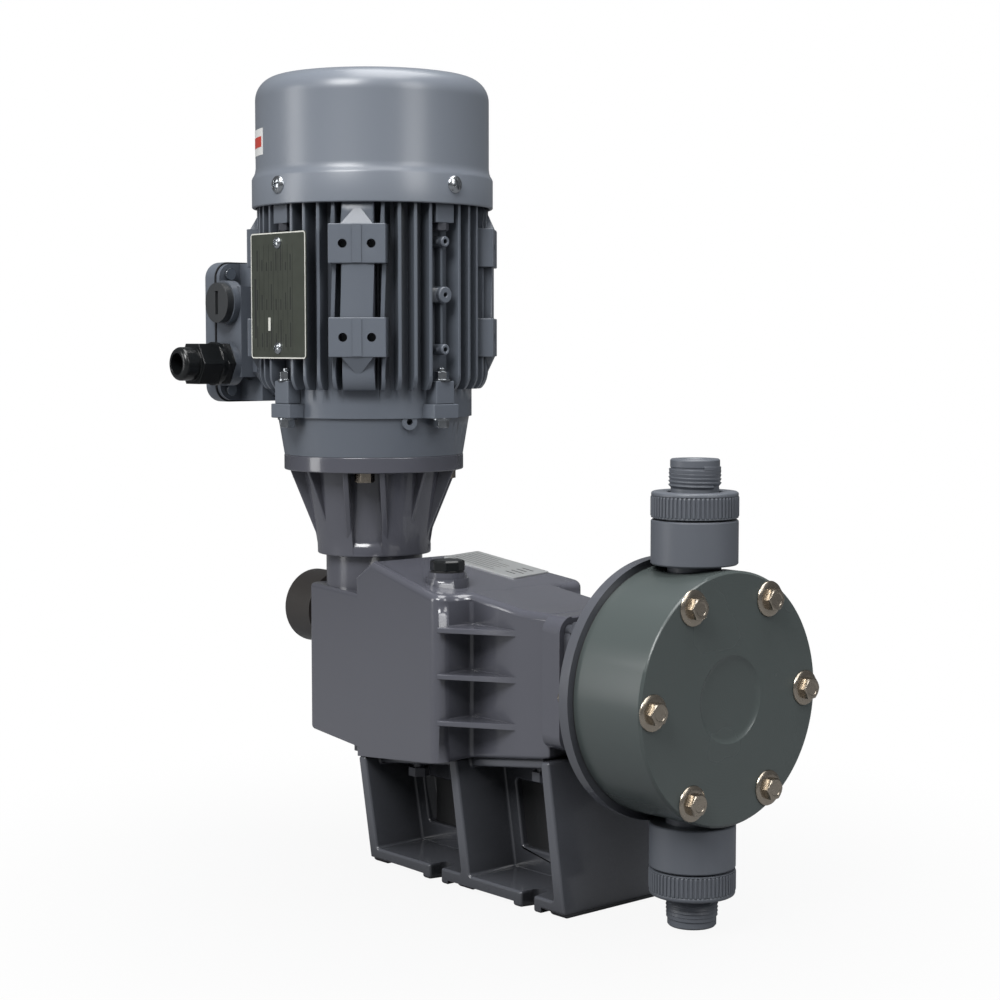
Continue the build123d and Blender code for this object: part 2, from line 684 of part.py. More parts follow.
# ---------------------------------------------------------------- oil filler and data plate
cap_seat = top_side(cap_x) + cap_boss_h
cap_r = 9.5
cap_height = 5.5
cap_gasket_t = 1.0
with BuildPart() as oil_cap:
    with BuildSketch(Plane(origin=(cap_x, cap_y, cap_seat + cap_gasket_t))):
        RegularPolygon(cap_r, 8)
    extrude(amount=cap_height)
    chamfer(oil_cap.edges().group_by(Axis.Z)[-1], 0.8)
    ring(Plane(origin=(cap_x, cap_y, cap_seat - 9)), cap_hole - run_gap, 9 + cap_gasket_t + 1)
save(oil_cap, "oil_cap")

with BuildPart() as oil_cap_gasket:
    ring(Plane(origin=(cap_x, cap_y, cap_seat)), cap_r - 0.5, cap_gasket_t, cap_hole + run_gap)
save(oil_cap_gasket, "oil_cap_gasket")

plate_x = -46.0
plate_y = 27.0
plate_turn = 9.0
top_tilt = degrees(atan2(mid_top_peak - mid_top_front, case_wide_x - mid_top_peak_x))
down_slope = Vector(cos(radians(top_tilt)), 0, -sin(radians(top_tilt)))
plate_dir = down_slope * cos(radians(plate_turn)) + Vector(0, 1, 0) * sin(radians(plate_turn))
plate_plane = Plane(origin=(plate_x, plate_y, top_side(plate_x)), x_dir=plate_dir,
                    z_dir=(sin(radians(top_tilt)), 0, cos(radians(top_tilt))))
with BuildPart() as info_plate:
    with BuildSketch(plate_plane):
        RectangleRounded(54, 31, 1.5)
    extrude(amount=0.8)
save(info_plate, "info_plate")

# ---------------------------------------------------------------- lantern
lantern_bore = 35.05
motor_bolt_points = [(motor_bolt_circle * cos(radians(45 + 90 * k)), motor_bolt_circle * sin(radians(45 + 90 * k)))
                     for k in range(4)]
lantern_seat = flange_z - lantern_flange
with BuildPart() as lantern:
    with BuildSketch(Plane.XZ):
        with BuildLine():
            Polyline((motor_x + worm_hub_r + 14, neck_top), (motor_x + lantern_foot_r, neck_top),
                     (motor_x + lantern_foot_r, neck_top + 5), (motor_x + 31, neck_top + 9),
                     (motor_x + 36, lantern_seat), (motor_x + lantern_r, lantern_seat),
                     (motor_x + lantern_r, flange_z), (motor_x + lantern_bore, flange_z),
                     (motor_x + 31, lantern_seat - 4), (motor_x + 25.5, neck_top + 12), close=True)
        make_face()
    revolve(axis=Axis((motor_x, 0, 0), (0, 0, 1)))
    # ribs in pairs beside each flange bolt
    for quarter in range(4):
        for offset in (-10.5, 10.5):
            angle = 45 + 90 * quarter
            rib_origin = Vector(motor_x, 0, 0) + Vector(-sin(radians(angle)), cos(radians(angle)), 0) * offset
            rib_plane = Plane(origin=rib_origin, x_dir=(cos(radians(angle)), sin(radians(angle)), 0),
                              z_dir=(sin(radians(angle)), -cos(radians(angle)), 0))
            prism(rib_plane, [(28, neck_top + 6), (lantern_foot_r - 2, neck_top + 8),
                              (lantern_r - 4, lantern_seat + 1), (36, lantern_seat + 1)], 1.6, both=True)
    for quarter in range(4):
        angle = 90 * quarter
        rib_plane = Plane(origin=(motor_x, 0, 0), x_dir=(cos(radians(angle)), sin(radians(angle)), 0),
                          z_dir=(sin(radians(angle)), -cos(radians(angle)), 0))
        prism(rib_plane, [(28, neck_top + 6), (lantern_foot_r - 2, neck_top + 8),
                          (lantern_r - 4, lantern_seat + 1), (34, lantern_seat + 1)], 1.2, both=True)
    with BuildSketch(motor_plane(lantern_seat)):
        with Locations(*motor_bolt_points):
            Circle(3.3)
    extrude(amount=lantern_flange, mode=Mode.SUBTRACT)
save(lantern, "lantern")

bolt_head = 5.5
with BuildPart() as lantern_bolts:
    with BuildSketch(motor_plane(lantern_seat - bolt_head)):
        with Locations(*motor_bolt_points):
            RegularPolygon(5, 6, major_radius=False)
    extrude(amount=bolt_head)
    with BuildSketch(motor_plane(lantern_seat)):
        with Locations(*motor_bolt_points):
            Circle(3)
    extrude(amount=lantern_flange + 8)
save(lantern_bolts, "lantern_bolts")

# ---------------------------------------------------------------- motor
motor_bearing_r = 17.5
motor_bearing_t = 11.0
low_bearing_z = flange_z + 6
high_bearing_z = frame_top + 8
shield_rim = 8.0
drain_z = 249.5
drain_angles = (-17, 163)
bolt_lug_r = 62.0
shield_bolt_r = 2.5
bolt_lug_points = [(bolt_lug_r * cos(radians(90 * k)), bolt_lug_r * sin(radians(90 * k))) for k in range(4)]
with BuildPart() as motor_shield:
    with BuildSketch(Plane.XZ):
        with BuildLine():
            Polyline((motor_x + motor_bearing_r, flange_z), (motor_x + lantern_r - 0.2, flange_z),
                     (motor_x + 56.0, frame_bottom - shield_rim), (motor_x + frame_core_r, frame_bottom - shield_rim),
                     (motor_x + frame_core_r, frame_bottom),
                     (motor_x + 50, frame_bottom), (motor_x + 45, flange_z + 9),
                     (motor_x + motor_bearing_r + 5, flange_z + 9),
                     (motor_x + motor_bearing_r + 5, low_bearing_z + motor_bearing_t),
                     (motor_x + motor_bearing_r, low_bearing_z + motor_bearing_t), close=True)
        make_face()
    revolve(axis=Axis((motor_x, 0, 0), (0, 0, 1)))
    for k in range(4):
        with BuildSketch(motor_plane(frame_bottom - shield_rim)):
            with PolarLocations(bolt_lug_r - 5, 1, start_angle=90 * k):
                Rectangle(20, 18)
        extrude(amount=shield_rim)
    with BuildSketch(motor_plane(frame_bottom - shield_rim)):
        with Locations(*bolt_lug_points):
            Circle(shield_bolt_r + free_gap)
    extrude(amount=shield_rim, mode=Mode.SUBTRACT)
    for angle in drain_angles:
        boss_dir = Vector(cos(radians(angle)), sin(radians(angle)), 0)
        ring(Plane(origin=Vector(motor_x, 0, drain_z) + boss_dir * 48, z_dir=boss_dir), 4.5, 9)
        ring(Plane(origin=Vector(motor_x, 0, drain_z) + boss_dir * 52, z_dir=boss_dir), 1.8, 9, mode=Mode.SUBTRACT)
    with BuildSketch(motor_plane(flange_z)):
        with Locations(*motor_bolt_points):
            Circle(3.1)
    extrude(amount=8.5, mode=Mode.SUBTRACT)
save(motor_shield, "motor_shield")

fin_angles = [90 * side + offset for side in range(4) for offset in (-33, -25, -17, -9, 9, 17, 25, 33)]
stator_r = 51.0
fin_start = frame_bottom + 8.0
lug_h = 13.0
pad_bands = ((286.0, 308.0), (337.6, 359.5))
pad_hole_r = 2.5
pad_holes = [(across, (low + high) / 2) for low, high in pad_bands for across in (-8, 8)]
boss_zs = ((350.5, 3.2), (320.8, 5.0), (290.2, 3.2))
with BuildPart() as motor_frame:
    ring(motor_plane(frame_bottom), frame_core_r, frame_top - frame_bottom)
    with BuildSketch(motor_plane(fin_start)):
        for angle in fin_angles:
            with PolarLocations((fin_r + frame_core_r - 2) / 2, 1, start_angle=angle):
                Rectangle(fin_r - frame_core_r + 2, fin_t)
        for quarter in range(4):
            with PolarLocations((pad_r + frame_core_r - 4) / 2, 1, start_angle=45 + 90 * quarter):
                Rectangle(pad_r - frame_core_r + 4, 18)
    extrude(amount=frame_top - fin_start)
    for low, high in pad_bands:
        for quarter in range(4):
            with BuildSketch(motor_plane(low)):
                with PolarLocations((pad_r + frame_core_r - 4) / 2, 1, start_angle=45 + 90 * quarter):
                    Rectangle(pad_r - frame_core_r + 4, 32)
            extrude(amount=high - low)
    # lugs for the shield bolts at both ends
    for lug_z in (frame_bottom, frame_top - lug_h):
        with BuildSketch(motor_plane(lug_z)):
            with PolarLocations(bolt_lug_r - 3, 4):
                Rectangle(14, 13)
        extrude(amount=lug_h)
    # service bosses on the side away from the terminal box
    for boss_z, boss_r in boss_zs:
        ring(Plane(origin=(motor_x + frame_core_r - 3, 0, boss_z), z_dir=(1, 0, 0)), boss_r, 9)
    # mounting holes in the foot pads
    for quarter in range(4):
        direction = Vector(cos(radians(45 + 90 * quarter)), sin(radians(45 + 90 * quarter)), 0)
        pad_plane = Plane(origin=Vector(motor_x, 0, 0) + direction * pad_r, x_dir=(-direction.Y, direction.X, 0),
                          z_dir=direction)
        with BuildSketch(pad_plane):
            with Locations(*pad_holes):
                Circle(pad_hole_r)
        extrude(amount=-9, mode=Mode.SUBTRACT)
    ring(motor_plane(frame_bottom), stator_r, frame_top - frame_bottom, mode=Mode.SUBTRACT)
    with BuildSketch(motor_plane(frame_bottom)):
        with Locations(*bolt_lug_points):
            Circle(shield_bolt_r + free_gap)
    extrude(amount=frame_top - frame_bottom, mode=Mode.SUBTRACT)
save(motor_frame, "motor_frame")

rotor_r = 31.0
air_gap = 0.35
core_low = 278.0
core_high = 346.0
with BuildPart() as stator_core:
    ring(motor_plane(core_low), stator_r, core_high - core_low, rotor_r + air_gap)
    ring(motor_plane(core_low - 14), stator_r - 4, 14, rotor_r + 5)
    ring(motor_plane(core_high), stator_r - 4, 14, rotor_r + 5)
save(stator_core, "stator_core")

fan_z = frame_top + 25.0
journal_r = 7.5
with BuildPart() as rotor:
    ring(motor_plane(flange_z - 30), shaft_d / 2, 36)
    ring(motor_plane(low_bearing_z), journal_r, high_bearing_z + motor_bearing_t - low_bearing_z)
    ring(motor_plane(low_bearing_z + motor_bearing_t + 1), 11, high_bearing_z - low_bearing_z - motor_bearing_t - 2)
    ring(motor_plane(core_low), rotor_r, core_high - core_low)
    ring(motor_plane(high_bearing_z + motor_bearing_t), 6, fan_z + 20 - high_bearing_z - motor_bearing_t)
    with Locations((motor_x + shaft_d / 2 + key_height / 2 - key_depth, 0, key_low + key_length / 2)):
        Box(key_height, key_width, key_length, mode=Mode.SUBTRACT)
save(rotor, "rotor")

with BuildPart() as shaft_key:
    with Locations((motor_x + shaft_d / 2 + key_height / 2 - key_depth, 0, key_low + key_length / 2)):
        Box(key_height - run_gap, key_width - run_gap, key_length - run_gap)
save(shaft_key, "shaft_key")

with BuildPart() as motor_bearings:
    ring(motor_plane(low_bearing_z), motor_bearing_r - 0.01, motor_bearing_t, journal_r + run_gap)
    ring(motor_plane(high_bearing_z), motor_bearing_r - 0.01, motor_bearing_t, journal_r + run_gap)
save(motor_bearings, "motor_bearings")

cowl_t = 1.5
cowl_seat_r = cowl_r - cowl_t - free_gap
with BuildPart() as rear_shield:
    with BuildSketch(Plane.XZ):
        with BuildLine():
            Polyline((motor_x + 50, frame_top), (motor_x + cowl_seat_r, frame_top),
                     (motor_x + cowl_seat_r, frame_top + 8),
                     (motor_x + motor_bearing_r + 5, frame_top + 14),
                     (motor_x + motor_bearing_r + 5, high_bearing_z + motor_bearing_t),
                     (motor_x + motor_bearing_r, high_bearing_z + motor_bearing_t),
                     (motor_x + motor_bearing_r, high_bearing_z), (motor_x + 50, high_bearing_z - 4), close=True)
        make_face()
    revolve(axis=Axis((motor_x, 0, 0), (0, 0, 1)))
    with BuildSketch(motor_plane(frame_top)):
        with Locations(*bolt_lug_points):
            Circle(shield_bolt_r + free_gap)
    extrude(amount=30, mode=Mode.SUBTRACT)
save(rear_shield, "rear_shield")

blades = 8
with BuildPart() as fan:
    ring(motor_plane(fan_z), 56, 2.5, 6 + run_gap)
    ring(motor_plane(fan_z - 3), 12, 20, 6 + run_gap)
    for k in range(blades):
        with BuildSketch(motor_plane(fan_z + 1)):
            with PolarLocations(34, 1, start_angle=360 / blades * k):
                Rectangle(44, 2)
        extrude(amount=18)
save(fan, "fan")

cowl_groove_z = 398.0
cowl_foot = frame_top + free_gap
with BuildPart() as fan_cowl:
    with BuildSketch(Plane.XZ):
        with BuildLine():
            outer = Polyline((motor_x + cowl_r, cowl_foot), (motor_x + cowl_r, cowl_groove_z - 6),
                             (motor_x + cowl_upper_r, cowl_groove_z),
                             (motor_x + cowl_upper_r, cowl_top - 18))
            shoulder = RadiusArc(outer @ 1, (motor_x + cowl_upper_r - 14, cowl_top - 3), -15)
            Polyline(shoulder @ 1, (motor_x + 40, cowl_top), (motor_x + 18, cowl_top),
                     (motor_x + 18, cowl_top - cowl_t), (motor_x + 40, cowl_top - cowl_t),
                     (motor_x + cowl_upper_r - 15, cowl_top - 3 - cowl_t))
            RadiusArc((motor_x + cowl_upper_r - 15, cowl_top - 3 - cowl_t),
                      (motor_x + cowl_upper_r - cowl_t, cowl_top - 18), 13)
            Polyline((motor_x + cowl_upper_r - cowl_t, cowl_top - 18),
                     (motor_x + cowl_upper_r - cowl_t, cowl_groove_z),
                     (motor_x + cowl_r - cowl_t, cowl_groove_z - 6),
                     (motor_x + cowl_r - cowl_t, cowl_foot), (motor_x + cowl_r, cowl_foot))
        make_face()
    revolve(axis=Axis((motor_x, 0, 0), (0, 0, 1)))
save(fan_cowl, "fan_cowl")

screw_z = frame_top + 4.0
with BuildPart() as cowl_screws:
    for k in range(4):
        direction = Vector(cos(radians(90 * k)), sin(radians(90 * k)), 0)
        with BuildSketch(Plane(origin=Vector(motor_x, 0, screw_z) + direction * cowl_r, z_dir=direction)):
            Circle(4)
        extrude(amount=2.4, taper=14)
save(cowl_screws, "cowl_screws")

bolt_hex = 4.0
bolt_hex_t = 4.0
bolt_ends = ((frame_bottom - shield_rim, frame_bottom + lug_h), (frame_top - lug_h, frame_top + 8))
with BuildPart() as shield_bolts:
    for low, high in bolt_ends:
        with BuildSketch(motor_plane(low)):
            with Locations(*bolt_lug_points):
                Circle(shield_bolt_r)
        extrude(amount=high - low)
        inner_face = high if low < frame_bottom else low - bolt_hex_t
        with BuildSketch(motor_plane(inner_face)):
            with Locations(*bolt_lug_points):
                RegularPolygon(bolt_hex, 6, major_radius=False)
        extrude(amount=bolt_hex_t)
    with BuildSketch(motor_plane(frame_bottom - shield_rim - bolt_hex_t)):
        with Locations(*bolt_lug_points):
            RegularPolygon(bolt_hex, 6, major_radius=False)
    extrude(amount=bolt_hex_t)
save(shield_bolts, "shield_bolts")

# ---------------------------------------------------------------- terminal box
box_wall = 3.0
box_rim = 4.0
lid_t = 12.0
box_mid_z = (box_bottom + box_top) / 2
box_half_z = (box_top - box_bottom) / 2
lid_inner_x = box_lid_x + lid_t
lid_screw_points = [(y, z) for y in (-37.0, 37.0) for z in (-35.0, 35.0)]
entry_boss_r = 13.3
box_neck_half_y = 36.0
box_neck_half_z = 38.0
box_neck_cut = 14.0
box_neck_points = [(1, box_neck_half_y - box_neck_cut, -box_neck_half_z),
                   (1, box_neck_half_y, -box_neck_half_z + box_neck_cut),
                   (1, box_neck_half_y, box_neck_half_z - box_neck_cut),
                   (1, box_neck_half_y - box_neck_cut, box_neck_half_z),
                   (-1, box_neck_half_y - box_neck_cut, box_neck_half_z),
                   (-1, box_neck_half_y, box_neck_half_z - box_neck_cut),
                   (-1, box_neck_half_y, -box_neck_half_z + box_neck_cut),
                   (-1, box_neck_half_y - box_neck_cut, -box_neck_half_z)]
entry_boss_y = -box_half_y - 3.0
gland_thread_r = 10.0
plug_r = 12.0


def box_plane(x):
    return Plane(origin=(x, 0, box_mid_z), x_dir=(0, 1, 0), z_dir=(1, 0, 0))


def entry_plane(z, y):
    return Plane(origin=(entry_x, y, z), x_dir=(1, 0, 0), z_dir=(0, -1, 0))


with BuildPart() as terminal_box:
    with BuildSketch(box_plane(lid_inner_x)):
        RectangleRounded(2 * box_half_y - 2, 2 * box_half_z - 2, 9)
    extrude(amount=box_back_x - lid_inner_x)
    with BuildSketch(box_plane(box_back_x - 1)):
        with BuildLine():
            Polyline(*[(side * y, z) for side, y, z in box_neck_points], close=True)
        make_face()
    extrude(amount=motor_x - fin_r - free_gap - box_back_x + 1)
    for y, z in lid_screw_points:
        with BuildSketch(Plane(origin=(lid_inner_x + box_rim, y, box_mid_z + z), z_dir=(1, 0, 0))):
            Rectangle(16, 16)
        extrude(amount=box_back_x - lid_inner_x - box_rim, mode=Mode.SUBTRACT)
    for entry_z in (plug_z, gland_z):
        ring(entry_plane(entry_z, -box_half_y + 4), entry_boss_r, 7)
    with BuildSketch(box_plane(lid_inner_x)):
        Rectangle(2 * (box_half_y - box_wall) - 2, 2 * (box_half_z - box_wall - 16) - 2)
        Rectangle(2 * (box_half_y - box_wall - 16) - 2, 2 * (box_half_z - box_wall) - 2)
    extrude(amount=box_back_x - lid_inner_x - box_wall, mode=Mode.SUBTRACT)
    for entry_z in (plug_z, gland_z):
        ring(entry_plane(entry_z, entry_boss_y + 20), gland_thread_r, 30, mode=Mode.SUBTRACT)
    for y, z in lid_screw_points:
        with BuildSketch(Plane(origin=(lid_inner_x, y, box_mid_z + z), z_dir=(1, 0, 0))):
            Circle(2.1)
        extrude(amount=box_rim, mode=Mode.SUBTRACT)
save(terminal_box, "terminal_box")

with BuildPart() as terminal_box_lid:
    with BuildSketch(box_plane(box_lid_x)):
        RectangleRounded(2 * box_half_y, 2 * box_half_z, 10)
    extrude(amount=lid_t)
    outer_edges = terminal_box_lid.faces().sort_by(Axis.X)[0].edges()
    fillet(outer_edges, 3)
    with BuildSketch(box_plane(box_lid_x + box_wall)):
        Rectangle(2 * box_half_y - 10, 2 * box_half_z - 34)
        Rectangle(2 * box_half_y - 34, 2 * box_half_z - 10)
    extrude(amount=lid_t, mode=Mode.SUBTRACT)
    for y, z in lid_screw_points:
        with BuildSketch(Plane(origin=(lid_inner_x, y, box_mid_z + z), z_dir=(1, 0, 0))):
            Circle(1.9)
        extrude(amount=-7, mode=Mode.SUBTRACT)
save(terminal_box_lid, "terminal_box_lid")

with BuildPart() as lid_screws:
    for y, z in lid_screw_points:
        ring(Plane(origin=(lid_inner_x + box_rim, y, box_mid_z + z), z_dir=(1, 0, 0)), 3.5, 2.5)
        ring(Plane(origin=(lid_inner_x - 6, y, box_mid_z + z), z_dir=(1, 0, 0)), 1.8, box_rim + 6)
save(lid_screws, "lid_screws")

with BuildPart() as terminal_block:
    with BuildSketch(box_plane(box_back_x - box_wall - 10)):
        RectangleRounded(36, 44, 3)
    extrude(amount=10)
    with BuildSketch(box_plane(box_back_x - box_wall - 17)):
        with GridLocations(12, 16, 3, 2):
            Circle(2)
    extrude(amount=8)
save(terminal_block, "terminal_block")

gland_hex = 24.0
gland_nut_y = entry_boss_y - 8.0
with BuildPart() as cable_gland:
    hexagon(entry_plane(gland_z, entry_boss_y), gland_hex, 5)
    ring(entry_plane(gland_z, entry_boss_y), 11, 14)
    ring(entry_plane(gland_z, entry_boss_y + 9), gland_thread_r - run_gap, 10)
    ring(entry_plane(gland_z, entry_boss_y + 12), 6, 60, mode=Mode.SUBTRACT)
save(cable_gland, "cable_gland")

with BuildPart() as gland_nut:
    hexagon(entry_plane(gland_z, gland_nut_y), gland_hex, 14)
    ring(entry_plane(gland_z, gland_nut_y + 3), 13, 3)
    ring(entry_plane(gland_z, gland_nut_y - 14), 10, 11)
    gland_rim = gland_nut.edges().filter_by(GeomType.CIRCLE).sort_by(Axis.Y)[0]
    fillet(gland_rim, 3)
    ring(entry_plane(gland_z, gland_nut_y + 4), 11 + run_gap, 12, mode=Mode.SUBTRACT)
    ring(entry_plane(gland_z, gland_nut_y + 4), 6.5, 60, mode=Mode.SUBTRACT)
save(gland_nut, "gland_nut")

with BuildPart() as blanking_plug:
    ring(entry_plane(plug_z, entry_boss_y), plug_r, 4.5)
    with BuildSketch(entry_plane(plug_z, entry_boss_y - 4.5)):
        Rectangle(3, 14)
    extrude(amount=-2, mode=Mode.SUBTRACT)
    ring(entry_plane(plug_z, entry_boss_y + 9), gland_thread_r - run_gap, 9)
save(blanking_plug, "blanking_plug")

# ---------------------------------------------------------------- motor data plate
label_low = 285.0
label_high = 356.0
label_half = 26.5
with BuildPart() as nameplate:
    with BuildSketch(Plane(origin=(motor_x, -fin_r, (label_low + label_high) / 2), x_dir=(1, 0, 0),
                           z_dir=(0, -1, 0))):
        RectangleRounded(2 * label_half, label_high - label_low, 2)
    extrude(amount=0.9)
save(nameplate, "nameplate")
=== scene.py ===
import bpy
import bmesh
import math
from mathutils import Matrix, Vector


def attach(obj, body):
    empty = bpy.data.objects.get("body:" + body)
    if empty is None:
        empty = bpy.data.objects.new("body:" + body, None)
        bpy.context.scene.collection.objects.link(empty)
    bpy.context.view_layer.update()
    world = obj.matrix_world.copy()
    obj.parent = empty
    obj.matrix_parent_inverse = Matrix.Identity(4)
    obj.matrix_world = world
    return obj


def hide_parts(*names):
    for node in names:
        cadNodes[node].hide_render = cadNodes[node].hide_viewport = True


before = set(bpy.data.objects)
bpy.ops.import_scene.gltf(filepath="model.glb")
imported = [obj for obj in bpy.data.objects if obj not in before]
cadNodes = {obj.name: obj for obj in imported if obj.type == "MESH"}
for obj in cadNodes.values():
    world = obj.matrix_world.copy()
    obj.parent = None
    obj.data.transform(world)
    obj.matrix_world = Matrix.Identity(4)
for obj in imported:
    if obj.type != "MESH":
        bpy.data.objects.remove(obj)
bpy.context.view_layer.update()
print("frame loaded:", len(cadNodes), "nodes")


def mm(*values):
    # millimetres to metres
    scaled = [v * 0.001 for v in values]
    return scaled[0] if len(scaled) == 1 else Vector(scaled)


# places that several pieces share, in millimetres
pump = {"strokeZ": 120.0, "valveX": 134.3, "motorX": -124.0, "headFrontX": 159.4, "ringFrontX": 114.0,
        "ringRearX": 107.8, "boltCircle": 54.8}
onMotor = Matrix.Translation(mm(pump["motorX"], 0, 0))


# ---- finishes
def toLinear(colour):
    out = []
    for channel in colour:
        c = channel / 255
        out.append(c / 12.92 if c <= 0.04045 else ((c + 0.055) / 1.055) ** 2.4)
    return (*out, 1.0)


def wire(links, joins):
    # each join is a node and its output, then a node and its input
    for giver, output, taker, entry in joins:
        links.new(giver.outputs[output], taker.inputs[entry])


def coating(colour, shift, patch, rough, roughSpread, grain, grainSize, **more):
    # tone and its patches, roughness and its spread, grain depth and scale, then what only some have
    return {"colour": colour, "shift": shift, "patch": patch, "rough": rough, "roughSpread": roughSpread,
            "grain": grain, "grainSize": grainSize, **more}


# motorPaint, casePaint and bracketPaint carry painted shade: their colour is darkened in corners and recesses, by an
# amount and reach given per paint
finishLooks = {
    "motorPaint": coating((96, 102, 111), 0.10, 14, 0.36, 0.08, 0.00005, 900, cavity=0.5, cavityReach=0.012,
                          coat=0.15, coatRough=0.22),
    "cowlPaint": coating((114, 120, 129), 0.06, 10, 0.33, 0.05, 0.00002, 700, coat=0.25, coatRough=0.25,
                         edge=0.0006),
    "casePaint": coating((84, 85, 93), 0.08, 12, 0.20, 0.06, 0.00008, 160, cavity=0.55, cavityReach=0.02,
                         coat=0.55, coatRough=0.08),
    "bracketPaint": coating((84, 86, 92), 0.08, 12, 0.19, 0.06, 0.00006, 180, cavity=0.22, cavityReach=0.05,
                            coat=0.4, coatRough=0.1),
    "headPlastic": coating((76, 83, 82), 0.05, 18, 0.27, 0.06, 0.00002, 1200, edge=0.0005),
    "valvePlastic": coating((92, 96, 103), 0.05, 20, 0.42, 0.06, 0.00003, 1400, edge=0.0005),
    "stainless": coating((176, 166, 152), 0.18, 260, 0.26, 0.14, 0.00003, 1500, metal=1.0, edge=0.0003),
    "zinc": coating((176, 180, 184), 0.12, 320, 0.24, 0.12, 0.00002, 1500, metal=1.0, edge=0.0003),
    "groundSteel": coating((178, 180, 184), 0.06, 120, 0.22, 0.06, 0.00001, 2000, metal=1.0, edge=0.0003),
    "bronze": coating((176, 131, 72), 0.14, 90, 0.3, 0.1, 0.00003, 900, metal=1.0, edge=0.0003),
    "paintedSteel": coating((66, 68, 74), 0.08, 60, 0.34, 0.06, 0.00004, 600, edge=0.0004),
    "blackPlastic": coating((23, 25, 26), 0.12, 60, 0.24, 0.08, 0.00002, 1100, edge=0.0007),
    "knobPlastic": coating((52, 49, 47), 0.1, 50, 0.38, 0.08, 0.00004, 1000, edge=0.0008),
    "plugPlastic": coating((52, 54, 56), 0.1, 50, 0.4, 0.08, 0.00004, 1000, edge=0.0005),
    "rubber": coating((22, 22, 23), 0.1, 50, 0.6, 0.08, 0.00005, 800, edge=0.0003),
    "ceramic": coating((226, 224, 216), 0.04, 60, 0.14, 0.03, 0.00001, 1500, edge=0.0002),
    "darkPlate": coating((86, 90, 82), 0.2, 160, 0.36, 0.1, 0.00001, 2200, metal=0.75, edge=0.0002),
    "palePlate": coating((182, 184, 184), 0.06, 120, 0.38, 0.08, 0.00001, 2200, metal=0.6, edge=0.0002),
    "deepShade": coating((18, 19, 21), 0.06, 60, 0.7, 0.05, 0.00003, 500),
    "darkInk": coating((27, 28, 27), 0.1, 300, 0.5, 0.05, 0.00001, 2000),
    "paleInk": coating((214, 214, 206), 0.08, 300, 0.45, 0.05, 0.00001, 2000),
    "whiteFilm": coating((226, 226, 224), 0.03, 100, 0.35, 0.04, 0.00001, 1500),
    "redFilm": coating((196, 62, 48), 0.05, 100, 0.35, 0.04, 0.00001, 1500),
}


def makeFinish(name, look):
    material = bpy.data.materials.new(name)
    material.use_nodes = True
    nodes, links = material.node_tree.nodes, material.node_tree.links
    shader = nodes["Principled BSDF"]
    shader.inputs["Metallic"].default_value = look.get("metal", 0.0)
    shader.inputs["Coat Weight"].default_value = look.get("coat", 0.0)
    shader.inputs["Coat Roughness"].default_value = look.get("coatRough", 0.1)
    place = nodes.new("ShaderNodeTexCoord")
    patches = nodes.new("ShaderNodeTexNoise")             # slow change of tone over the surface
    patches.inputs["Scale"].default_value = look["patch"]
    patches.inputs["Detail"].default_value = 3
    links.new(place.outputs["Object"], patches.inputs["Vector"])
    tone = nodes.new("ShaderNodeMix")
    tone.data_type = "RGBA"
    base = toLinear(look["colour"])
    half = look["shift"] / 2
    tone.inputs["A"].default_value = (*[c * (1 - half) for c in base[:3]], 1)
    tone.inputs["B"].default_value = (*[c * (1 + half) for c in base[:3]], 1)
    links.new(patches.outputs["Fac"], tone.inputs["Factor"])
    colourFrom = tone.outputs["Result"]
    if look.get("cavity"):
        recess = nodes.new("ShaderNodeAmbientOcclusion")  # painted shade: an AO factor darkens the colour in corners and recesses
        recess.samples = 6
        recess.inputs["Distance"].default_value = look["cavityReach"]
        depth = nodes.new("ShaderNodeMapRange")
        depth.inputs["From Min"].default_value = 0.25
        depth.inputs["From Max"].default_value = 0.85
        depth.inputs["To Min"].default_value = look["cavity"]
        shadeMultiply = nodes.new("ShaderNodeMix")
        shadeMultiply.data_type = "RGBA"
        shadeMultiply.blend_type = "MULTIPLY"
        shadeMultiply.inputs["Factor"].default_value = 1.0
        links.new(recess.outputs["AO"], depth.inputs["Value"])
        links.new(colourFrom, shadeMultiply.inputs["A"])
        links.new(depth.outputs["Result"], shadeMultiply.inputs["B"])
        colourFrom = shadeMultiply.outputs["Result"]
    links.new(colourFrom, shader.inputs["Base Color"])
    rough = nodes.new("ShaderNodeMapRange")
    rough.inputs["To Min"].default_value = look["rough"] - look["roughSpread"] / 2
    rough.inputs["To Max"].default_value = look["rough"] + look["roughSpread"] / 2
    wire(links, [(patches, "Fac", rough, "Value"), (rough, "Result", shader, "Roughness")])
    grain = nodes.new("ShaderNodeTexNoise")               # fine texture of the coat or the casting
    grain.inputs["Scale"].default_value = look["grainSize"]
    grain.inputs["Detail"].default_value = 2
    links.new(place.outputs["Object"], grain.inputs["Vector"])
    relief = nodes.new("ShaderNodeBump")
    relief.inputs["Strength"].default_value = 0.6
    relief.inputs["Distance"].default_value = look["grain"]
    links.new(grain.outputs["Fac"], relief.inputs["Height"])
    if look.get("edge"):
        softEdge = nodes.new("ShaderNodeBevel")           # rounds the look of sharp edges
        softEdge.samples = 6
        softEdge.inputs["Radius"].default_value = look["edge"]
        links.new(softEdge.outputs["Normal"], relief.inputs["Normal"])
    links.new(relief.outputs["Normal"], shader.inputs["Normal"])
    return material


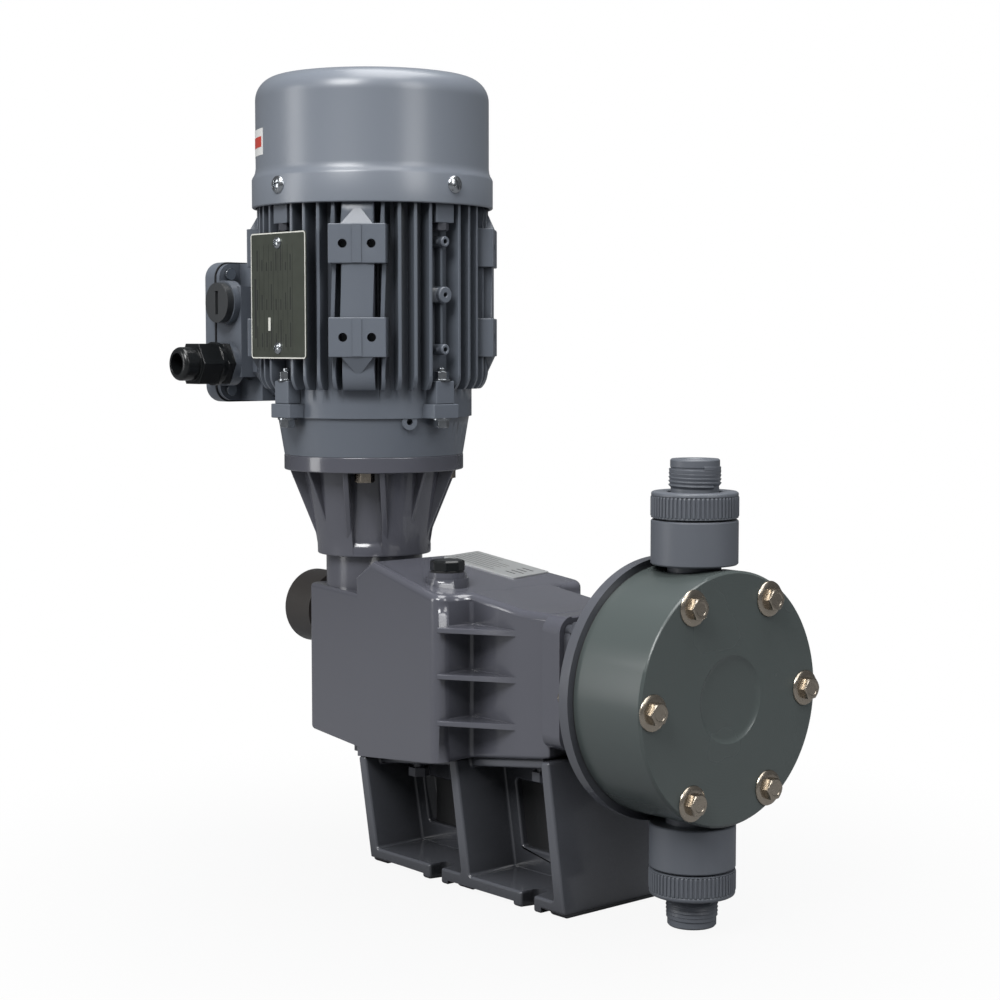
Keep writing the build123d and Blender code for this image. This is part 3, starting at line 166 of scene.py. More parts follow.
def addTurnedMarks(material, centre, spacing, depth):
    # fine circles left by the lathe, about an axis along X
    nodes, links = material.node_tree.nodes, material.node_tree.links
    relief = next(n for n in nodes if n.bl_idname == "ShaderNodeBump")
    place = next(n for n in nodes if n.bl_idname == "ShaderNodeTexCoord")
    centring = nodes.new("ShaderNodeMapping")
    centring.inputs["Location"].default_value = -centre
    circles = nodes.new("ShaderNodeTexWave")
    circles.wave_type = "RINGS"
    circles.rings_direction = "X"
    circles.inputs["Scale"].default_value = 0.31 / spacing
    circles.inputs["Distortion"].default_value = 0.0
    cuts = nodes.new("ShaderNodeBump")
    cuts.inputs["Strength"].default_value = 0.5
    cuts.inputs["Distance"].default_value = depth
    wire(links, [(place, "Object", centring, "Vector"), (centring, "Vector", circles, "Vector"),
                 (circles, "Fac", cuts, "Height"), (relief, "Normal", cuts, "Normal")])
    shader = nodes["Principled BSDF"]
    links.new(cuts.outputs["Normal"], shader.inputs["Normal"])


finishes = {name: makeFinish(name, look) for name, look in finishLooks.items()}
addTurnedMarks(finishes["headPlastic"], mm(pump["headFrontX"], 0, pump["strokeZ"]), mm(1.5), mm(0.02))
print("finishes made:", len(finishes))

nodeFinish = {
    "casePaint": ["gear_housing", "lantern", "base", "front_cover"],
    "bracketPaint": ["head_bracket"],
    "motorPaint": ["motor_frame", "motor_shield", "rear_shield", "terminal_box", "terminal_box_lid"],
    "cowlPaint": ["fan_cowl"],
    "headPlastic": ["pump_head"],
    "valvePlastic": ["suction_valve_body", "discharge_valve_body", "suction_connector", "discharge_connector",
                     "suction_union_nut", "discharge_union_nut", "suction_seat", "discharge_seat"],
    "stainless": ["head_bolts", "head_washers", "head_nuts", "lantern_bolts", "stop_spindle",
                  "diaphragm_disc"],
    "zinc": ["shield_bolts", "lid_screws", "cowl_screws"],
    "paintedSteel": ["cover_bolts", "base_bolts"],
    "groundSteel": ["push_rod", "eccentric_shaft", "worm_shaft", "rotor", "shaft_key", "motor_bearings",
                    "worm_bearings", "shaft_bearings", "return_spring", "stator_core"],
    "bronze": ["worm_wheel", "rod_bush", "knob_bush"],
    "blackPlastic": ["cable_gland", "gland_nut", "oil_cap", "fan", "terminal_block"],
    "plugPlastic": ["blanking_plug"],
    "knobPlastic": ["adjusting_knob"],
    "rubber": ["diaphragm", "rod_seal", "suction_oring", "discharge_oring", "oil_cap_gasket"],
    "ceramic": ["suction_ball", "discharge_ball"],
    "darkPlate": ["nameplate"],
    "palePlate": ["info_plate"],
}
for finishName, members in nodeFinish.items():
    for member in members:
        holder = cadNodes[member]
        if not holder.material_slots:
            holder.data.materials.append(finishes[finishName])
        for held in holder.material_slots:
            held.material = finishes[finishName]
print("nodes finished:", sum(len(m) for m in nodeFinish.values()))


# ---- mesh helpers
def meshFrom(name, bm):
    bmesh.ops.remove_doubles(bm, verts=bm.verts, dist=1e-7)
    bmesh.ops.recalc_face_normals(bm, faces=bm.faces)
    mesh = bpy.data.meshes.new(name)
    bm.to_mesh(mesh)
    bm.free()
    return mesh


def newPiece(name, mesh, finish=None, smooth=None):
    piece = bpy.data.objects.new(name, mesh)
    bpy.context.scene.collection.objects.link(piece)
    if finish:
        mesh.materials.clear()
        mesh.materials.append(finishes[finish])
    if smooth is not None:
        mesh.shade_smooth()
        mesh.set_sharp_from_angle(angle=math.radians(smooth))
    return piece


def coated(piece, finish):
    piece.data.materials.clear()
    piece.data.materials.append(finishes[finish])


def turned(name, outline, steps=96):
    # a closed outline of (radius, height) in millimetres, spun about Z
    bm = bmesh.new()
    rings = []
    for step in range(steps):
        a = 2 * math.pi * step / steps
        rings.append([bm.verts.new(mm(r * math.cos(a), r * math.sin(a), h)) for r, h in outline])
    count = len(outline)
    for step in range(steps):
        here, there = rings[step], rings[(step + 1) % steps]
        for i in range(count):
            j = (i + 1) % count
            corners = [here[i], here[j], there[j], there[i]]
            radii = [outline[i][0], outline[j][0]]
            if radii[0] == 0 and radii[1] == 0:
                continue
            if radii[0] == 0:
                corners = [here[i], here[j], there[j]]
            elif radii[1] == 0:
                corners = [here[i], here[j], there[i]]
            bm.faces.new(corners)
    return meshFrom(name, bm)


def slab(name, outline, thick):
    # a flat outline of (x, y) in millimetres, raised along Z
    bm = bmesh.new()
    foot = [bm.verts.new(mm(x, y, 0)) for x, y in outline]
    base = bm.faces.new(foot)
    raised = bmesh.ops.extrude_face_region(bm, geom=[base])
    lifted = [v for v in raised["geom"] if isinstance(v, bmesh.types.BMVert)]
    bmesh.ops.translate(bm, vec=mm(0, 0, thick), verts=lifted)
    return meshFrom(name, bm)


def roundedOutline(width, height, corner, steps=6):
    points = []
    for cx, cy, start in ((1, 1, 0), (-1, 1, 90), (-1, -1, 180), (1, -1, 270)):
        for step in range(steps + 1):
            a = math.radians(start + 90 * step / steps)
            points.append((cx * (width / 2 - corner) + corner * math.cos(a),
                           cy * (height / 2 - corner) + corner * math.sin(a)))
    return points


def finalMesh(piece):
    # takes the modifiers' result as the piece's own plain mesh
    view = bpy.context.evaluated_depsgraph_get()
    shown = piece.evaluated_get(view)
    mesh = bpy.data.meshes.new_from_object(shown, preserve_all_data_layers=True, depsgraph=view)
    piece.modifiers.clear()
    piece.data = mesh
    return piece


def cut(piece, tool, operation="DIFFERENCE"):
    change = piece.modifiers.new("cut", "BOOLEAN")
    change.object = tool
    change.operation = operation
    change.solver = "EXACT"
    finalMesh(piece)
    bpy.data.objects.remove(tool)
    return piece


def axes(origin, along, outward):
    # a matrix whose X runs along and whose Z points outward, origin in millimetres
    z = Vector(outward).normalized()
    x = Vector(along)
    x = (x - z * x.dot(z)).normalized()
    y = z.cross(x)
    turn = Matrix((x, y, z)).transposed().to_4x4()
    return Matrix.Translation(mm(*origin)) @ turn


def finishPiece(piece, body, standsFor=()):
    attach(piece, body)
    if standsFor:
        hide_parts(*standsFor)
    return piece


def joined(name, parts):
    with bpy.context.temp_override(active_object=parts[0], selected_editable_objects=parts):
        bpy.ops.object.join()
    parts[0].name = name
    return parts[0]


# ---- node trees for what repeats
def newTree(name, inputs):
    tree = bpy.data.node_groups.new(name, "GeometryNodeTree")
    tree.interface.new_socket("Geometry", in_out="INPUT", socket_type="NodeSocketGeometry")
    for label, kind in inputs:
        tree.interface.new_socket(label, in_out="INPUT", socket_type="NodeSocket" + kind)
    tree.interface.new_socket("Geometry", in_out="OUTPUT", socket_type="NodeSocketGeometry")
    return tree, tree.nodes.new("NodeGroupInput"), tree.nodes.new("NodeGroupOutput")


def ringTree():
    # copies of one object round the Z axis, each with its X pointing outwards
    tree, given, result = newTree("copiesInRing", [("Count", "Int"), ("Radius", "Float"), ("Copy", "Object"),
                                                   ("Finish", "Material")])
    circle = tree.nodes.new("GeometryNodeMeshCircle")
    copyInfo = tree.nodes.new("GeometryNodeObjectInfo")
    where = tree.nodes.new("GeometryNodeInputPosition")
    facing = tree.nodes.new("FunctionNodeAlignRotationToVector")
    facing.axis = "X"
    facing.pivot_axis = "Z"
    spread = tree.nodes.new("GeometryNodeInstanceOnPoints")
    together = tree.nodes.new("GeometryNodeJoinGeometry")
    real = tree.nodes.new("GeometryNodeRealizeInstances")
    coat = tree.nodes.new("GeometryNodeSetMaterial")
    wire(tree.links, [(given, "Count", circle, "Vertices"), (given, "Radius", circle, "Radius"),
                      (given, "Copy", copyInfo, "Object"), (where, "Position", facing, "Vector"),
                      (circle, "Mesh", spread, "Points"), (copyInfo, "Geometry", spread, "Instance"),
                      (facing, "Rotation", spread, "Rotation"), (spread, "Instances", together, "Geometry"),
                      (given, "Geometry", together, "Geometry"), (together, "Geometry", real, "Geometry"),
                      (real, "Geometry", coat, "Geometry"), (given, "Finish", coat, "Material"),
                      (coat, "Geometry", result, "Geometry")])
    return tree


def threadTree():
    # a helical ridge about Z, joined to the piece that is given
    tree, given, result = newTree("screwThread", [("Turns", "Float"), ("Pitch", "Float"), ("Radius", "Float"),
                                                  ("Start", "Float"), ("Ridge", "Float"), ("Finish",
                                                                                           "Material")])
    length = tree.nodes.new("ShaderNodeMath")
    length.operation = "MULTIPLY"
    helix = tree.nodes.new("GeometryNodeCurveSpiral")
    helix.inputs["Resolution"].default_value = 64
    crest = tree.nodes.new("GeometryNodeCurvePrimitiveCircle")
    crest.inputs["Resolution"].default_value = 4
    sweep = tree.nodes.new("GeometryNodeCurveToMesh")
    sweep.inputs["Fill Caps"].default_value = True
    shift = tree.nodes.new("ShaderNodeCombineXYZ")
    moved = tree.nodes.new("GeometryNodeTransform")
    together = tree.nodes.new("GeometryNodeJoinGeometry")
    real = tree.nodes.new("GeometryNodeRealizeInstances")
    coat = tree.nodes.new("GeometryNodeSetMaterial")
    wire(tree.links, [(given, "Turns", length, 0), (given, "Pitch", length, 1),
                      (given, "Turns", helix, "Rotations"), (given, "Radius", helix, "Start Radius"),
                      (given, "Radius", helix, "End Radius"), (length, 0, helix, "Height"),
                      (given, "Ridge", crest, "Radius"), (helix, "Curve", sweep, "Curve"),
                      (crest, "Curve", sweep, "Profile Curve"), (given, "Start", shift, "Z"),
                      (sweep, "Mesh", moved, "Geometry"), (shift, "Vector", moved, "Translation"),
                      (moved, "Geometry", together, "Geometry"), (given, "Geometry", together, "Geometry"),
                      (together, "Geometry", real, "Geometry"), (real, "Geometry", coat, "Geometry"),
                      (given, "Finish", coat, "Material"), (coat, "Geometry", result, "Geometry")])
    return tree


def rowsTree():
    # rows of thin raised marks of uneven length that start from one margin
    tree, given, result = newTree("rowsOfMarks", [("Rows", "Int"), ("Spacing", "Float"), ("Length", "Float"),
                                                  ("Stroke", "Float"), ("Height", "Float"), ("Shortest",
                                                                                             "Float"),
                                                  ("Seed", "Int"), ("Finish", "Material")])
    step = tree.nodes.new("ShaderNodeCombineXYZ")
    rows = tree.nodes.new("GeometryNodeMeshLine")
    size = tree.nodes.new("ShaderNodeCombineXYZ")
    bar = tree.nodes.new("GeometryNodeMeshCube")
    halfLength = tree.nodes.new("ShaderNodeMath")
    halfLength.operation = "MULTIPLY"
    halfLength.inputs[1].default_value = 0.5
    margin = tree.nodes.new("ShaderNodeCombineXYZ")
    aligned = tree.nodes.new("GeometryNodeTransform")
    chance = tree.nodes.new("FunctionNodeRandomValue")
    chance.data_type = "FLOAT"
    stretch = tree.nodes.new("ShaderNodeCombineXYZ")
    stretch.inputs["Y"].default_value = 1
    stretch.inputs["Z"].default_value = 1
    spread = tree.nodes.new("GeometryNodeInstanceOnPoints")
    real = tree.nodes.new("GeometryNodeRealizeInstances")
    coat = tree.nodes.new("GeometryNodeSetMaterial")
    wire(tree.links, [(given, "Spacing", step, "Y"), (given, "Rows", rows, "Count"),
                      (step, "Vector", rows, "Offset"), (given, "Length", size, "X"),
                      (given, "Stroke", size, "Y"), (given, "Height", size, "Z"),
                      (size, "Vector", bar, "Size"), (given, "Length", halfLength, 0),
                      (halfLength, 0, margin, "X"), (bar, "Mesh", aligned, "Geometry"),
                      (margin, "Vector", aligned, "Translation"), (given, "Shortest", chance, 2),
                      (given, "Seed", chance, "Seed"), (chance, 1, stretch, "X"),
                      (rows, "Mesh", spread, "Points"), (aligned, "Geometry", spread, "Instance"),
                      (stretch, "Vector", spread, "Scale"), (spread, "Instances", real, "Geometry"),
                      (real, "Geometry", coat, "Geometry"), (given, "Finish", coat, "Material"),
                      (coat, "Geometry", result, "Geometry")])
    return tree


trees = {"ring": ringTree(), "thread": threadTree(), "rows": rowsTree()}


def grown(name, treeName, values, start=None):
    # runs one node tree on a start mesh and keeps its result as a plain mesh
    piece = bpy.data.objects.new(name, start or bpy.data.meshes.new(name))
    bpy.context.scene.collection.objects.link(piece)
    growth = piece.modifiers.new("growth", "NODES")
    growth.node_group = trees[treeName]
    for item in trees[treeName].interface.items_tree:
        if item.in_out == "INPUT" and item.name in values:
            growth[item.identifier] = values[item.name]
    return finalMesh(piece)


def ringOf(name, copyPiece, count, radius, finish, matrix, start=None):
    piece = grown(name, "ring", {"Count": count, "Radius": mm(radius), "Copy": copyPiece,
                                 "Finish": finishes[finish]}, start)
    piece.data.transform(matrix)
    return piece


def smoothen(piece, angle):
    piece.data.shade_smooth()
    piece.data.set_sharp_from_angle(angle=math.radians(angle))
    return piece


def boltRing(name, copyPiece, count, radius, finish, matrix, angle, standsFor=()):
    # a finished ring of fasteners, whose one copy is then dropped
    fasteners = ringOf(name, copyPiece, count, radius, finish, matrix)
    bpy.data.objects.remove(copyPiece)
    smoothen(fasteners, angle)
    finishPiece(fasteners, "pump", standsFor)


# ---- unions: knurled nuts and threaded spigots
unionNut = {"radius": 21.6, "from": 87.9, "to": 100.9, "mouth": 13.7, "inner": 18.4, "innerTo": 96.0,
            "knurls": 60, "knurlFrom": 88.5, "knurlTo": 98.9, "knurlWidth": 0.66}
spigot = {"shank": 12.0, "core": 11.9, "threadFrom": 103.4, "threadTo": 112.6, "lip": 12.3, "end": 117.0,
          "bore": 7.0, "pitch": 1.814, "crest": 13.18, "flange": 18.1, "foot": 87.1, "flangeTo": 90.9}


def knurlRidge():
    half = (unionNut["knurlTo"] - unionNut["knurlFrom"]) / 2
    w = unionNut["knurlWidth"]
    bm = bmesh.new()
    ends = []
    for h, out in ((-half, -0.2), (-half + 0.5, 0.32), (half - 0.8, 0.32), (half, -0.25)):
        ends.append([bm.verts.new(mm(x, y, h)) for x, y in ((-0.4, -w), (out * 0.6, -w * 0.8), (out,
                                                                                                -w * 0.35),
                                                            (out, w * 0.35), (out * 0.6, w * 0.8), (-0.4,
                                                                                                    w))])
    for low, high in zip(ends, ends[1:]):
        for i in range(6):
            j = (i + 1) % 6
            bm.faces.new([low[i], low[j], high[j], high[i]])
    bm.faces.new(ends[0])
    bm.faces.new(ends[-1])
    return newPiece("knurlRidge", meshFrom("knurlRidge", bm))


def unionFrame(side):
    origin = (pump["valveX"], 0, pump["strokeZ"])
    return axes(origin, (1, 0, 0), (0, 0, side))


valveBody = {"bore": 12.0, "neck": 13.4, "neckFrom": 58.0, "from": 64.8, "radius": 21.75, "to": 87.0,
             "chamfer": 0.65}


def makeValveBody(side, label):
    v = valveBody
    outline = [(v["bore"], v["neckFrom"]), (v["neck"], v["neckFrom"]), (v["neck"], v["from"]),
               (v["radius"] - v["chamfer"], v["from"]), (v["radius"], v["from"] + v["chamfer"]),
               (v["radius"], v["to"] - v["chamfer"]), (v["radius"] - v["chamfer"], v["to"]), (v["bore"],
                                                                                              v["to"])]
    body = newPiece(label + "ValveBarrel", turned("barrel", outline, 128), "valvePlastic")
    body.data.transform(unionFrame(side))
    smoothen(body, 35)
    finishPiece(body, "pump", [label + "_valve_body"])


def makeUnion(side, label):
    n = unionNut
    r = n["radius"]
    outline = [(n["inner"], n["from"]), (r - 0.5, n["from"]), (r, n["from"] + 0.2), (r, n["knurlFrom"] - 0.1),
               (r - 0.45, n["knurlFrom"] + 0.1), (r - 0.45, n["knurlTo"] - 0.2), (r, n["knurlTo"] + 0.1),
               (r, n["to"] - 0.9), (r - 0.3, n["to"] - 0.35), (r - 0.9, n["to"]), (n["mouth"] + 0.4, n["to"]),
               (n["mouth"], n["to"] - 0.4), (n["mouth"], n["innerTo"]), (n["inner"], n["innerTo"])]
    body = turned("nutBody", outline, 128)
    middle = (n["knurlFrom"] + n["knurlTo"]) / 2
    body.transform(Matrix.Translation(mm(0, 0, -middle)))
    ridge = knurlRidge()
    nut = ringOf(label + "KnurledNut", ridge, n["knurls"], r, "valvePlastic",
                 unionFrame(side) @ Matrix.Translation(mm(0, 0, middle)), body)
    bpy.data.objects.remove(ridge)
    smoothen(nut, 35)
    finishPiece(nut, "pump", [label + "_union_nut"])
    s = spigot
    outline = [(s["bore"], s["foot"]), (s["flange"], s["foot"]), (s["flange"], s["flangeTo"]),
               (s["shank"], s["flangeTo"]), (s["shank"], s["threadFrom"] - 0.8),
               (s["core"], s["threadFrom"] - 0.3), (s["core"], s["threadTo"]), (s["lip"],
                                                                                s["threadTo"] + 0.5),
               (s["lip"], s["end"] - 0.7), (s["lip"] - 0.6, s["end"]), (s["bore"] + 1.2, s["end"]),
               (s["bore"], s["end"] - 1.0)]
    turns = (s["threadTo"] - s["threadFrom"]) / s["pitch"]
    ridgeSize = s["crest"] - s["core"]
    pipe = grown(label + "Spigot", "thread",
                 {"Turns": turns, "Pitch": mm(s["pitch"]), "Radius": mm(s["core"]),
                  "Start": mm(s["threadFrom"]),
                  "Ridge": mm(ridgeSize), "Finish": finishes["valvePlastic"]}, turned("pipe", outline, 96))
    pipe.data.transform(unionFrame(side))
    smoothen(pipe, 35)
    finishPiece(pipe, "pump", [label + "_connector"])


for side, label in ((1, "discharge"), (-1, "suction")):
    makeValveBody(side, label)
    makeUnion(side, label)
print("unions made")

# ---- head bolts, washers and seam
headBolt = {"across": 10.0, "head": 4.0, "washer": 1.6, "washerR": 9.0, "shank": 2.98, "tail": 10.0}


def hexHead(name, across, height):
    # six flats with a turned chamfer and a shallow round dish on top
    corner = across / 2 / math.cos(math.radians(30))
    outline = [(corner * math.cos(math.radians(60 * k)),
                corner * math.sin(math.radians(60 * k))) for k in range(6)]
    head = newPiece(name, slab(name, outline, height))
    flatR = across / 2 * 0.96
    chamfer = [(0, -1), (corner + 1, -1), (corner + 1, height - 1.15), (flatR, height), (flatR * 0.72,
                                                                                         height),
               (flatR * 0.66, height - 0.25), (0, height - 0.25)]
    return cut(head, newPiece("chamferTool", turned("chamferTool", chamfer, 72)), "INTERSECT")


def makeHeadBolts():
    b = headBolt
    grip = pump["headFrontX"] - pump["ringRearX"]
    head = hexHead("boltHead", b["across"], b["head"])
    head.data.transform(Matrix.Translation(mm(0, 0, b["washer"])))
    shank = newPiece("boltShank", turned("boltShank", [(0, -grip - b["tail"]), (b["shank"] - 0.5,
                                                                                -grip - b["tail"]),
                                                       (b["shank"], -grip - b["tail"] + 0.5),
                                                       (b["shank"], b["washer"] - 0.02), (0,
                                                                                          b["washer"] - 0.02)], 32))
    bolt = joined("bolt", [head, shank])
    place = axes((pump["headFrontX"], 0, pump["strokeZ"]), (0, 1, 0), (1, 0, 0))
    boltRing("headHexBolts", bolt, 6, pump["boltCircle"], "stainless", place, 25,
             ["head_bolts"])
    w = b["washerR"]
    outline = [(3.1, 0), (w - 0.3, 0), (w, 0.3), (w - 0.25, 0.9), (w - 1.1, 1.35), (w - 2.4, b["washer"]),
               (3.1, b["washer"])]
    washer = newPiece("washer", turned("washer", outline, 48))
    boltRing("headFlangeWashers", washer, 6, pump["boltCircle"], "stainless", place, 30,
             ["head_washers"])


headNut = {"height": 7.0, "bore": 3.02, "washerR": 8.6, "washerHole": 3.1, "washer": 1.4}


def makeHeadNuts():
    n = headNut
    nut = hexHead("nut", headBolt["across"], n["height"])
    tool = newPiece("bore", turned("bore", [(0, -1), (n["bore"], -1), (n["bore"], 9), (0, 9)], 32))
    cut(nut, tool)
    outline = [(n["washerHole"], -n["washer"]), (n["washerR"], -n["washer"]), (n["washerR"], 0),
               (n["washerHole"], 0)]
    washer = newPiece("rearWasher", turned("rearWasher", outline, 48))
    nut = joined("nut", [nut, washer])
    nut.data.transform(Matrix.Translation(mm(0, 0, n["washer"])))
    place = axes((pump["ringRearX"], 0, pump["strokeZ"]), (0, 1, 0), (-1, 0, 0))
    boltRing("headHexNuts", nut, 6, pump["boltCircle"], "stainless", place, 25, ["head_nuts"])


makeHeadBolts()
makeHeadNuts()
headSeam = {"inner": 62.4, "outer": 63.35, "half": 0.35}
seamOutline = [(headSeam["inner"], -headSeam["half"]), (headSeam["outer"], -headSeam["half"]),
               (headSeam["outer"], headSeam["half"]), (headSeam["inner"], headSeam["half"])]
seam = newPiece("headSeam", turned("headSeam", seamOutline, 160), "rubber", 30)
seam.data.transform(axes((pump["ringFrontX"], 0, pump["strokeZ"]), (0, 1, 0), (1, 0, 0)))
finishPiece(seam, "pump")
print("head bolts made")

# ---- cast bodies with softened edges, each made from its solid
castings = {
    "gear_housing": {"piece": "gearHousingCasting", "finish": "casePaint", "slot": "case_paint", "width": 2.4,
                     "shortest": 5.0, "sharp": 24.0, "cornerLevels": (152.0, 64.0), "cornerX": -150.0,
                     "ribLevels": (142.3, 117.5, 92.6), "ribShare": 0.28},
    "front_cover": {"piece": "frontCoverCasting", "finish": "casePaint", "slot": "case_paint", "width": 1.0,
                    "shortest": 3.0, "sharp": 50.0},
    "base": {"piece": "baseCasting", "finish": "bracketPaint", "slot": "bracket_paint", "width": 1.5,
             "shortest": 3.0, "sharp": 28.0},
    "lantern": {"piece": "lanternCasting", "finish": "casePaint", "slot": "case_paint", "width": 0.7,
                "shortest": 2.0, "sharp": 40.0},
    "motor_frame": {"piece": "motorFrameCasting", "finish": "motorPaint", "slot": "motor_paint",
                    "width": 0.55,
                    "shortest": 5.0, "sharp": 50.0},
    "pump_head": {"piece": "headBlock", "finish": "headPlastic", "slot": "head_pvc", "width": 0.3,
                  "shortest": 2.0, "sharp": 60.0},
    "motor_shield": {"piece": "motorShieldCasting", "finish": "motorPaint", "slot": "motor_paint",
                     "width": 0.6,
                     "shortest": 3.0, "sharp": 50.0},
}


def sector(name, outline, start, end, steps):
    # a closed outline of (radius, height), turned only part of the way
    bm = bmesh.new()
    rings = []
    for step in range(steps + 1):
        a = math.radians(start + (end - start) * step / steps)
        rings.append([bm.verts.new(mm(r * math.cos(a), r * math.sin(a), h)) for r, h in outline])
    count = len(outline)
    for here, there in zip(rings, rings[1:]):
        for i in range(count):
            j = (i + 1) % count
            bm.faces.new([here[i], here[j], there[j], there[i]])
    bm.faces.new(rings[0])
    bm.faces.new(rings[-1])
    return newPiece(name, meshFrom(name, bm))


finEnds = {"from": 8.0, "to": 82.0, "far": 76.0, "rim": 67.3, "foot": 60.5, "lowPad": 286.0,
           "highPad": 359.5, "strip": 70.6, "midLow": 308.0, "midHigh": 337.6, "end": 266.5, "bend": 279.0,
           "high": 375.0}


def roundFinEnds(frameCopy):
    # rounds the lower ends of the fins and lowers the strips above, between and below the foot blocks
    f = finEnds
    bend = []
    for step in range(7):
        a = math.radians(90 * step / 6)
        bend.append((f["foot"] + (f["rim"] - f["foot"]) * math.sin(a),
                     f["bend"] - (f["bend"] - f["end"]) * math.cos(a)))
    low = [(f["far"], f["end"])] + bend + [(f["rim"], f["lowPad"]), (f["far"], f["lowPad"])]
    middle = [(f["strip"], f["midLow"]), (f["far"], f["midLow"]), (f["far"], f["midHigh"]), (f["strip"],
                                                                                             f["midHigh"])]
    high = [(f["rim"], f["highPad"]), (f["far"], f["highPad"]), (f["far"], f["high"]), (f["rim"], f["high"])]
    for quarter in range(4):
        for outline in (low, middle, high):
            tool = sector("finTool", outline, f["from"] + 90 * quarter, f["to"] + 90 * quarter, 24)
            tool.data.transform(onMotor)
            cut(frameCopy, tool)


bossRegion = {"from": -118.0, "to": -42.0, "most": 2.5}


def levelSideWalls(bm):
    # brings thin crescents that stand out of the tapering side walls level with them
    for side in (-1, 1):
        walls = [f for f in bm.faces if f.normal.y * side > 0.9 and f.calc_center_median().y * side > mm(20)]
        wall = max(walls, key=lambda f: f.calc_area())
        for vert in bm.verts:
            out = (vert.co - wall.verts[0].co).dot(wall.normal)
            if mm(bossRegion["from"]) < vert.co.x < mm(bossRegion["to"]) and mm(0.002) < out < mm(bossRegion["most"]):
                vert.co -= wall.normal * out


headDish = ((0, -1.9), (6.0, -1.85), (14.0, -1.7), (18.5, -1.45), (20.6, -0.9), (21.6, -0.25), (22.2, 0.05),
            (22.4, 1.0), (0, 1.0))


def cutHeadDish(headCopy):
    tool = newPiece("dishTool", turned("dishTool", headDish, 128))
    tool.data.transform(axes((pump["headFrontX"], 0, pump["strokeZ"]), (0, 1, 0), (1, 0, 0)))
    cut(headCopy, tool)


def softened(nodeName, look):
    bm = bmesh.new()
    bm.from_mesh(cadNodes[nodeName].data)
    bmesh.ops.remove_doubles(bm, verts=bm.verts, dist=1e-6)
    mesh = bpy.data.meshes.new(look["piece"])
    bm.to_mesh(mesh)
    bm.free()
    piece = newPiece(look["piece"], mesh)
    if nodeName == "motor_frame":
        roundFinEnds(piece)
    if nodeName == "pump_head":
        cutHeadDish(piece)
    bm = bmesh.new()
    bm.from_mesh(piece.data)
    bmesh.ops.remove_doubles(bm, verts=bm.verts, dist=2e-6)
    if nodeName == "gear_housing":
        levelSideWalls(bm)
    bmesh.ops.dissolve_limit(bm, angle_limit=math.radians(0.4), verts=bm.verts, edges=bm.edges)
    weight = bm.edges.layers.float.get("bevel_weight_edge") or bm.edges.layers.float.new("bevel_weight_edge")
    chosen = 0
    for edge in bm.edges:
        if len(edge.link_faces) != 2:
            continue
        middle = (edge.verts[0].co + edge.verts[1].co) / 2
        onCorner = middle.x < mm(look.get("cornerX", -1000)) and any(
            abs(edge.verts[i].co.z - mm(level)) < mm(0.2) for i in (0,
                                                                    1) for level in look.get("cornerLevels", ()))
        if edge.calc_length() > mm(look["shortest"]) or onCorner:
            if edge.calc_face_angle(0) > math.radians(look["sharp"]):
                onRib = any(abs(middle.z - mm(level)) < mm(3.5) for level in look.get("ribLevels", ()))
                edge[weight] = look["ribShare"] if onRib else 1.0
                chosen += 1
    bm.to_mesh(piece.data)
    bm.free()
    bevel = piece.modifiers.new("bevel", "BEVEL")
    bevel.limit_method = "WEIGHT"
    bevel.width = mm(look["width"])
    bevel.segments = 3
    bevel.use_clamp_overlap = False
    bevel.miter_outer = "MITER_ARC"
    finalMesh(piece)
    coated(piece, look["finish"])
    smoothen(piece, 32)
    evenNormals = piece.modifiers.new("evenNormals", "WEIGHTED_NORMAL")
    evenNormals.keep_sharp = True
    finalMesh(piece)
    finishPiece(piece, "pump", [nodeName])
    print("softened", nodeName, chosen, "edges,", len(piece.data.polygons), "faces")


for nodeName, look in castings.items():
    softened(nodeName, look)

lanternSkin = {"low": 172.0, "high": 219.8, "inner": 30.0, "foot": 33.4, "bend": 182.0, "top": 41.5,
               "half": 30.5}


def makeLanternSkin():
    # the drum between the pairs of ribs widens towards the flange
    k = lanternSkin
    outline = [(k["inner"], k["low"]), (k["foot"], k["low"]), (k["foot"] + 0.2, k["bend"] - 5),
               (k["foot"] + 1.0, k["bend"]), (k["top"], k["high"]), (k["inner"], k["high"])]
    parts = [sector("skin", outline, 90 * q - k["half"], 90 * q + k["half"], 20) for q in range(4)]
    skin = joined("lanternSkin", parts)
    coated(skin, "casePaint")
    skin.data.transform(onMotor)
    smoothen(skin, 30)
    finishPiece(skin, "pump")


makeLanternSkin()

panel = {"from": -66.0, "to": 64.0, "low": 9.0, "high": 56.0, "thick": 1.2}


def makeWebShadePanel():
    # the windows of the base web are blind; the panel closing them is near black, painted shade for the dark pockets
    length = panel["to"] - panel["from"]
    height = panel["high"] - panel["low"]
    piece = newPiece("baseWebPanel", slab("baseWebPanel", roundedOutline(length, height, 1.0, 2),
                                          panel["thick"]),
                     "deepShade")
    middle = ((panel["from"] + panel["to"]) / 2, panel["thick"] / 2, (panel["low"] + panel["high"]) / 2)
    piece.data.transform(axes(middle, (1, 0, 0), (0, -1, 0)))
    finishPiece(piece, "pump")


makeWebShadePanel()

# ---- fan cowl: skirt, step, drum and a shallow crown
cowl = {"skirt": 70.0, "low": 371.4, "step": 389.2, "drum": 67.7, "drumFrom": 394.2, "shoulder": 433.0,
        "shoulderR": 13.6, "crownR": 20.0, "crownZ": 450.0, "wall": 1.6, "open": 18.6}


